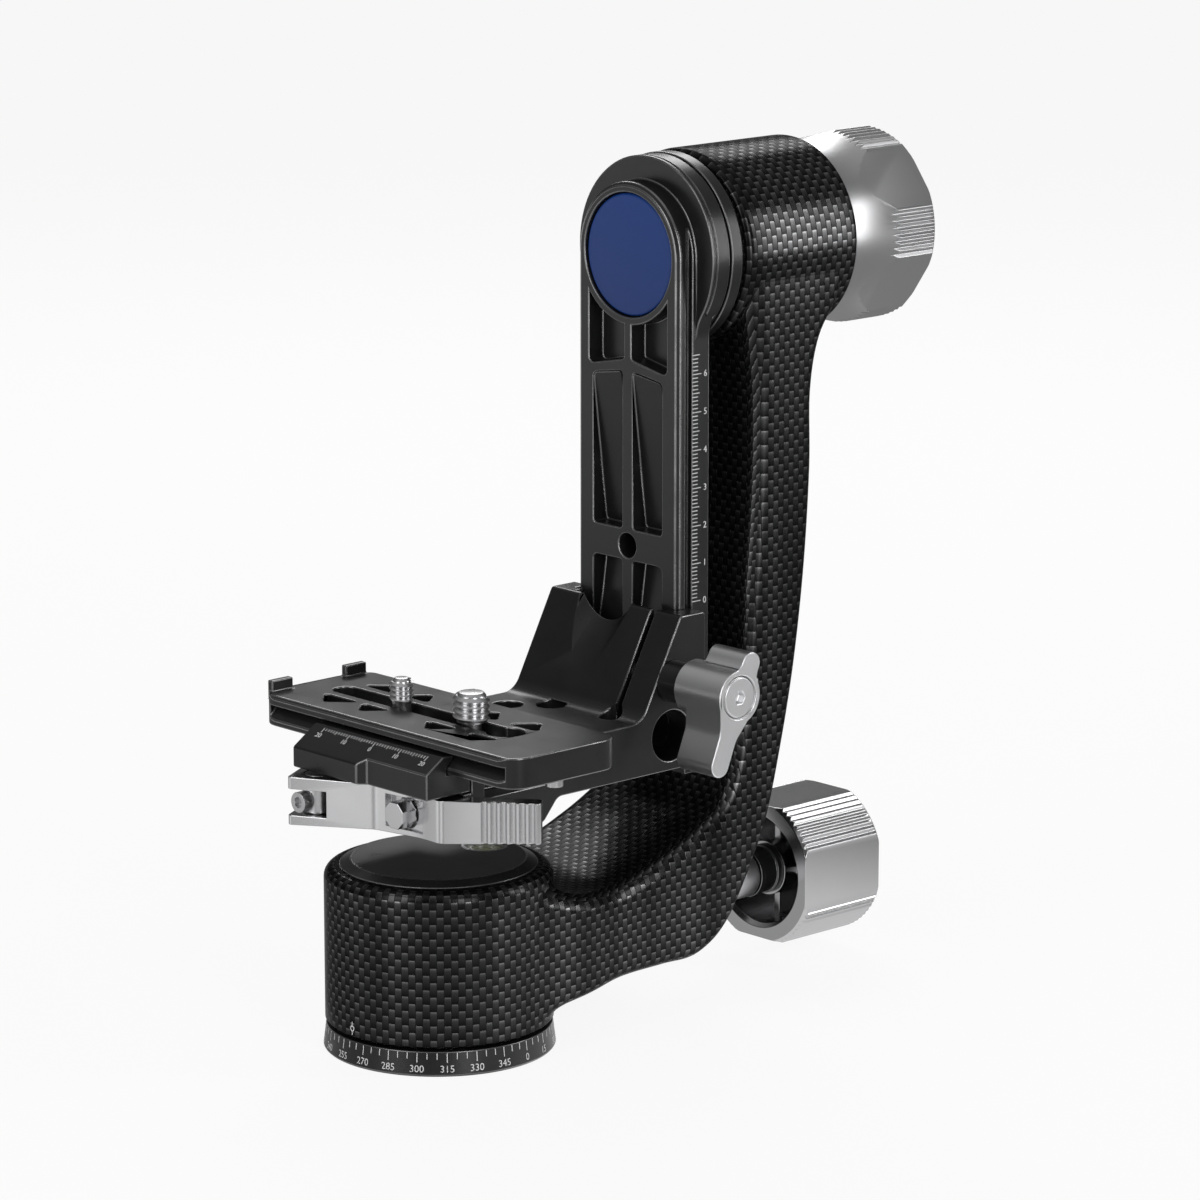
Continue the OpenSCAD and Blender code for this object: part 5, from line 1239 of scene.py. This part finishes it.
class CarbonSettings(bpy.types.PropertyGroup):
    """Sizes and colours of the moulding"""
    tow_width: FloatProperty(
        name="Tow width", description="Width of one tow",
        default=0.00183, unit="LENGTH")
    tow_length: FloatProperty(
        name="Tow length", description="Half of the length that one tow shows",
        default=0.0019, unit="LENGTH")
    # The light colour is a painted highlight on the upper ends of the tows; the dark colour is painted shade
    # where the cloth dips under and at the lower end of each tow.
    light: FloatVectorProperty(
        name="Light tow", description="Colour of the end of a tow that catches the light",
        default=(0.185, 0.185, 0.188), subtype="COLOR")
    dark: FloatVectorProperty(
        name="Dark tow", description="Colour of the cloth where it dips under",
        default=(0.006, 0.006, 0.0065), subtype="COLOR")
    roughness: FloatProperty(
        name="Roughness", description="Roughness of the cloth",
        default=0.28, subtype="FACTOR")
    edge_round: FloatProperty(
        name="Edge rounding", description="Rounding of the arm's long edges",
        default=0.0045, unit="LENGTH")
    foot_reach: FloatProperty(
        name="Foot reach", description="Length over which the arm flares into the cup",
        default=0.008, unit="LENGTH")
    foot_spread: FloatProperty(
        name="Foot spread", description="How far the flare runs out on the cup",
        default=0.0045, unit="LENGTH")


class MetalSettings(bpy.types.PropertyGroup):
    """Colours of the metal finishes"""
    black: FloatProperty(
        name="Black", description="Brightness of the black anodising",
        default=0.009, subtype="FACTOR")
    aluminium: FloatVectorProperty(
        name="Aluminium", description="Colour of the knobs and the lever",
        default=(0.72, 0.72, 0.73), subtype="COLOR")
    steel: FloatVectorProperty(
        name="Steel", description="Colour of the screws",
        default=(0.62, 0.62, 0.63), subtype="COLOR")
    enamel: FloatVectorProperty(
        name="Enamel", description="Colour of the round badge",
        default=(0.006, 0.04, 0.2), subtype="COLOR")


class ScaleSettings(bpy.types.PropertyGroup):
    """Sizes of the printed marks"""
    line_width: FloatProperty(
        name="Line width", description="Width of a printed mark",
        default=0.00022, unit="LENGTH")
    dial_long: FloatProperty(
        name="Long dial mark", description="Length of the marks each 15 degrees",
        default=0.0025, unit="LENGTH")
    dial_short: FloatProperty(
        name="Short dial mark", description="Length of the marks between",
        default=0.0016, unit="LENGTH")
    dial_number: FloatProperty(
        name="Dial number", description="Height of the numbers on the dial",
        default=0.0018, unit="LENGTH")
    rail_number: FloatProperty(
        name="Rail number", description="Height of the numbers on the rail",
        default=0.0017, unit="LENGTH")
    jaw_number: FloatProperty(
        name="Jaw number", description="Height of the numbers on the jaw",
        default=0.0014, unit="LENGTH")


class StageSettings(bpy.types.PropertyGroup):
    """Light, floor and camera"""
    floor: FloatVectorProperty(
        name="Floor", description="Colour of the floor",
        default=(0.93, 0.93, 0.93), subtype="COLOR")
    floor_glow: FloatProperty(
        name="Floor glow", description="Share of plain white in the floor as it is seen",
        default=0.9, subtype="FACTOR")
    floor_shine: FloatProperty(
        name="Floor in metal", description="Brightness of the floor as metal shows it",
        default=0.3, subtype="FACTOR")
    light: FloatProperty(name="Light", description="Strength of all lamps together", default=1.0)
    sky: FloatProperty(name="Sky", description="Strength of the light from all round", default=0.3)
    sky_gloss: FloatProperty(
        name="Sky in metal", description="Brightness of the upper sky as metal shows it",
        default=0.08, subtype="FACTOR")
    lens: FloatProperty(name="Lens", description="Focal length of the camera", default=156.42, unit="CAMERA")
    turn: FloatProperty(
        name="Turn", description="Camera's turn about the object",
        default=math.radians(-42.92), subtype="ANGLE")
    rise: FloatProperty(
        name="Rise", description="Camera's angle above the horizon",
        default=math.radians(12.651), subtype="ANGLE")
    camera: FloatVectorProperty(
        name="Camera", description="Place of the camera",
        default=(-0.84773, -0.97237, 0.40642), subtype="TRANSLATION")


class GimbalSettings(bpy.types.PropertyGroup):
    """All that a user would change"""
    carbon: PointerProperty(
        type=CarbonSettings, name="Carbon", description="Sizes and colours of the moulding")
    metal: PointerProperty(type=MetalSettings, name="Metal", description="Colours of the metal finishes")
    scale: PointerProperty(type=ScaleSettings, name="Scales", description="Sizes of the printed marks")
    stage: PointerProperty(type=StageSettings, name="Stage", description="Light, floor and camera")


OPERATORS = (
    GIMBAL_OT_carbon_arm,
    GIMBAL_OT_black_parts,
    GIMBAL_OT_bright_parts,
    GIMBAL_OT_dial_scale,
    GIMBAL_OT_straight_scales,
    GIMBAL_OT_camera_screws,
    GIMBAL_OT_badge,
    GIMBAL_OT_level,
    GIMBAL_OT_inner_parts,
    GIMBAL_OT_stage,
)


class GIMBAL_PT_panel(bpy.types.Panel):
    """Lists the steps that dress the gimbal head"""
    bl_idname = "GIMBAL_PT_panel"
    bl_label = "Gimbal head"
    bl_space_type = "VIEW_3D"
    bl_region_type = "UI"
    bl_category = "Gimbal"

    def draw(self, context):
        for operator in OPERATORS:
            self.layout.operator(operator.bl_idname)
        for group in ("carbon", "metal", "scale", "stage"):
            values = getattr(context.scene.gimbal_head, group)
            for key in values.__annotations__:
                self.layout.prop(values, key)


CLASSES = (
    CarbonSettings, MetalSettings, ScaleSettings, StageSettings, GimbalSettings, *OPERATORS, GIMBAL_PT_panel,
)


def register():
    for item in CLASSES:
        bpy.utils.register_class(item)
    bpy.types.Scene.gimbal_head = PointerProperty(type=GimbalSettings)


def unregister():
    del bpy.types.Scene.gimbal_head
    for item in reversed(CLASSES):
        bpy.utils.unregister_class(item)


def main():
    register()
    for operator in OPERATORS:
        group, name = operator.bl_idname.split(".")
        getattr(getattr(bpy.ops, group), name)()


if __name__ == "__main__":
    main()
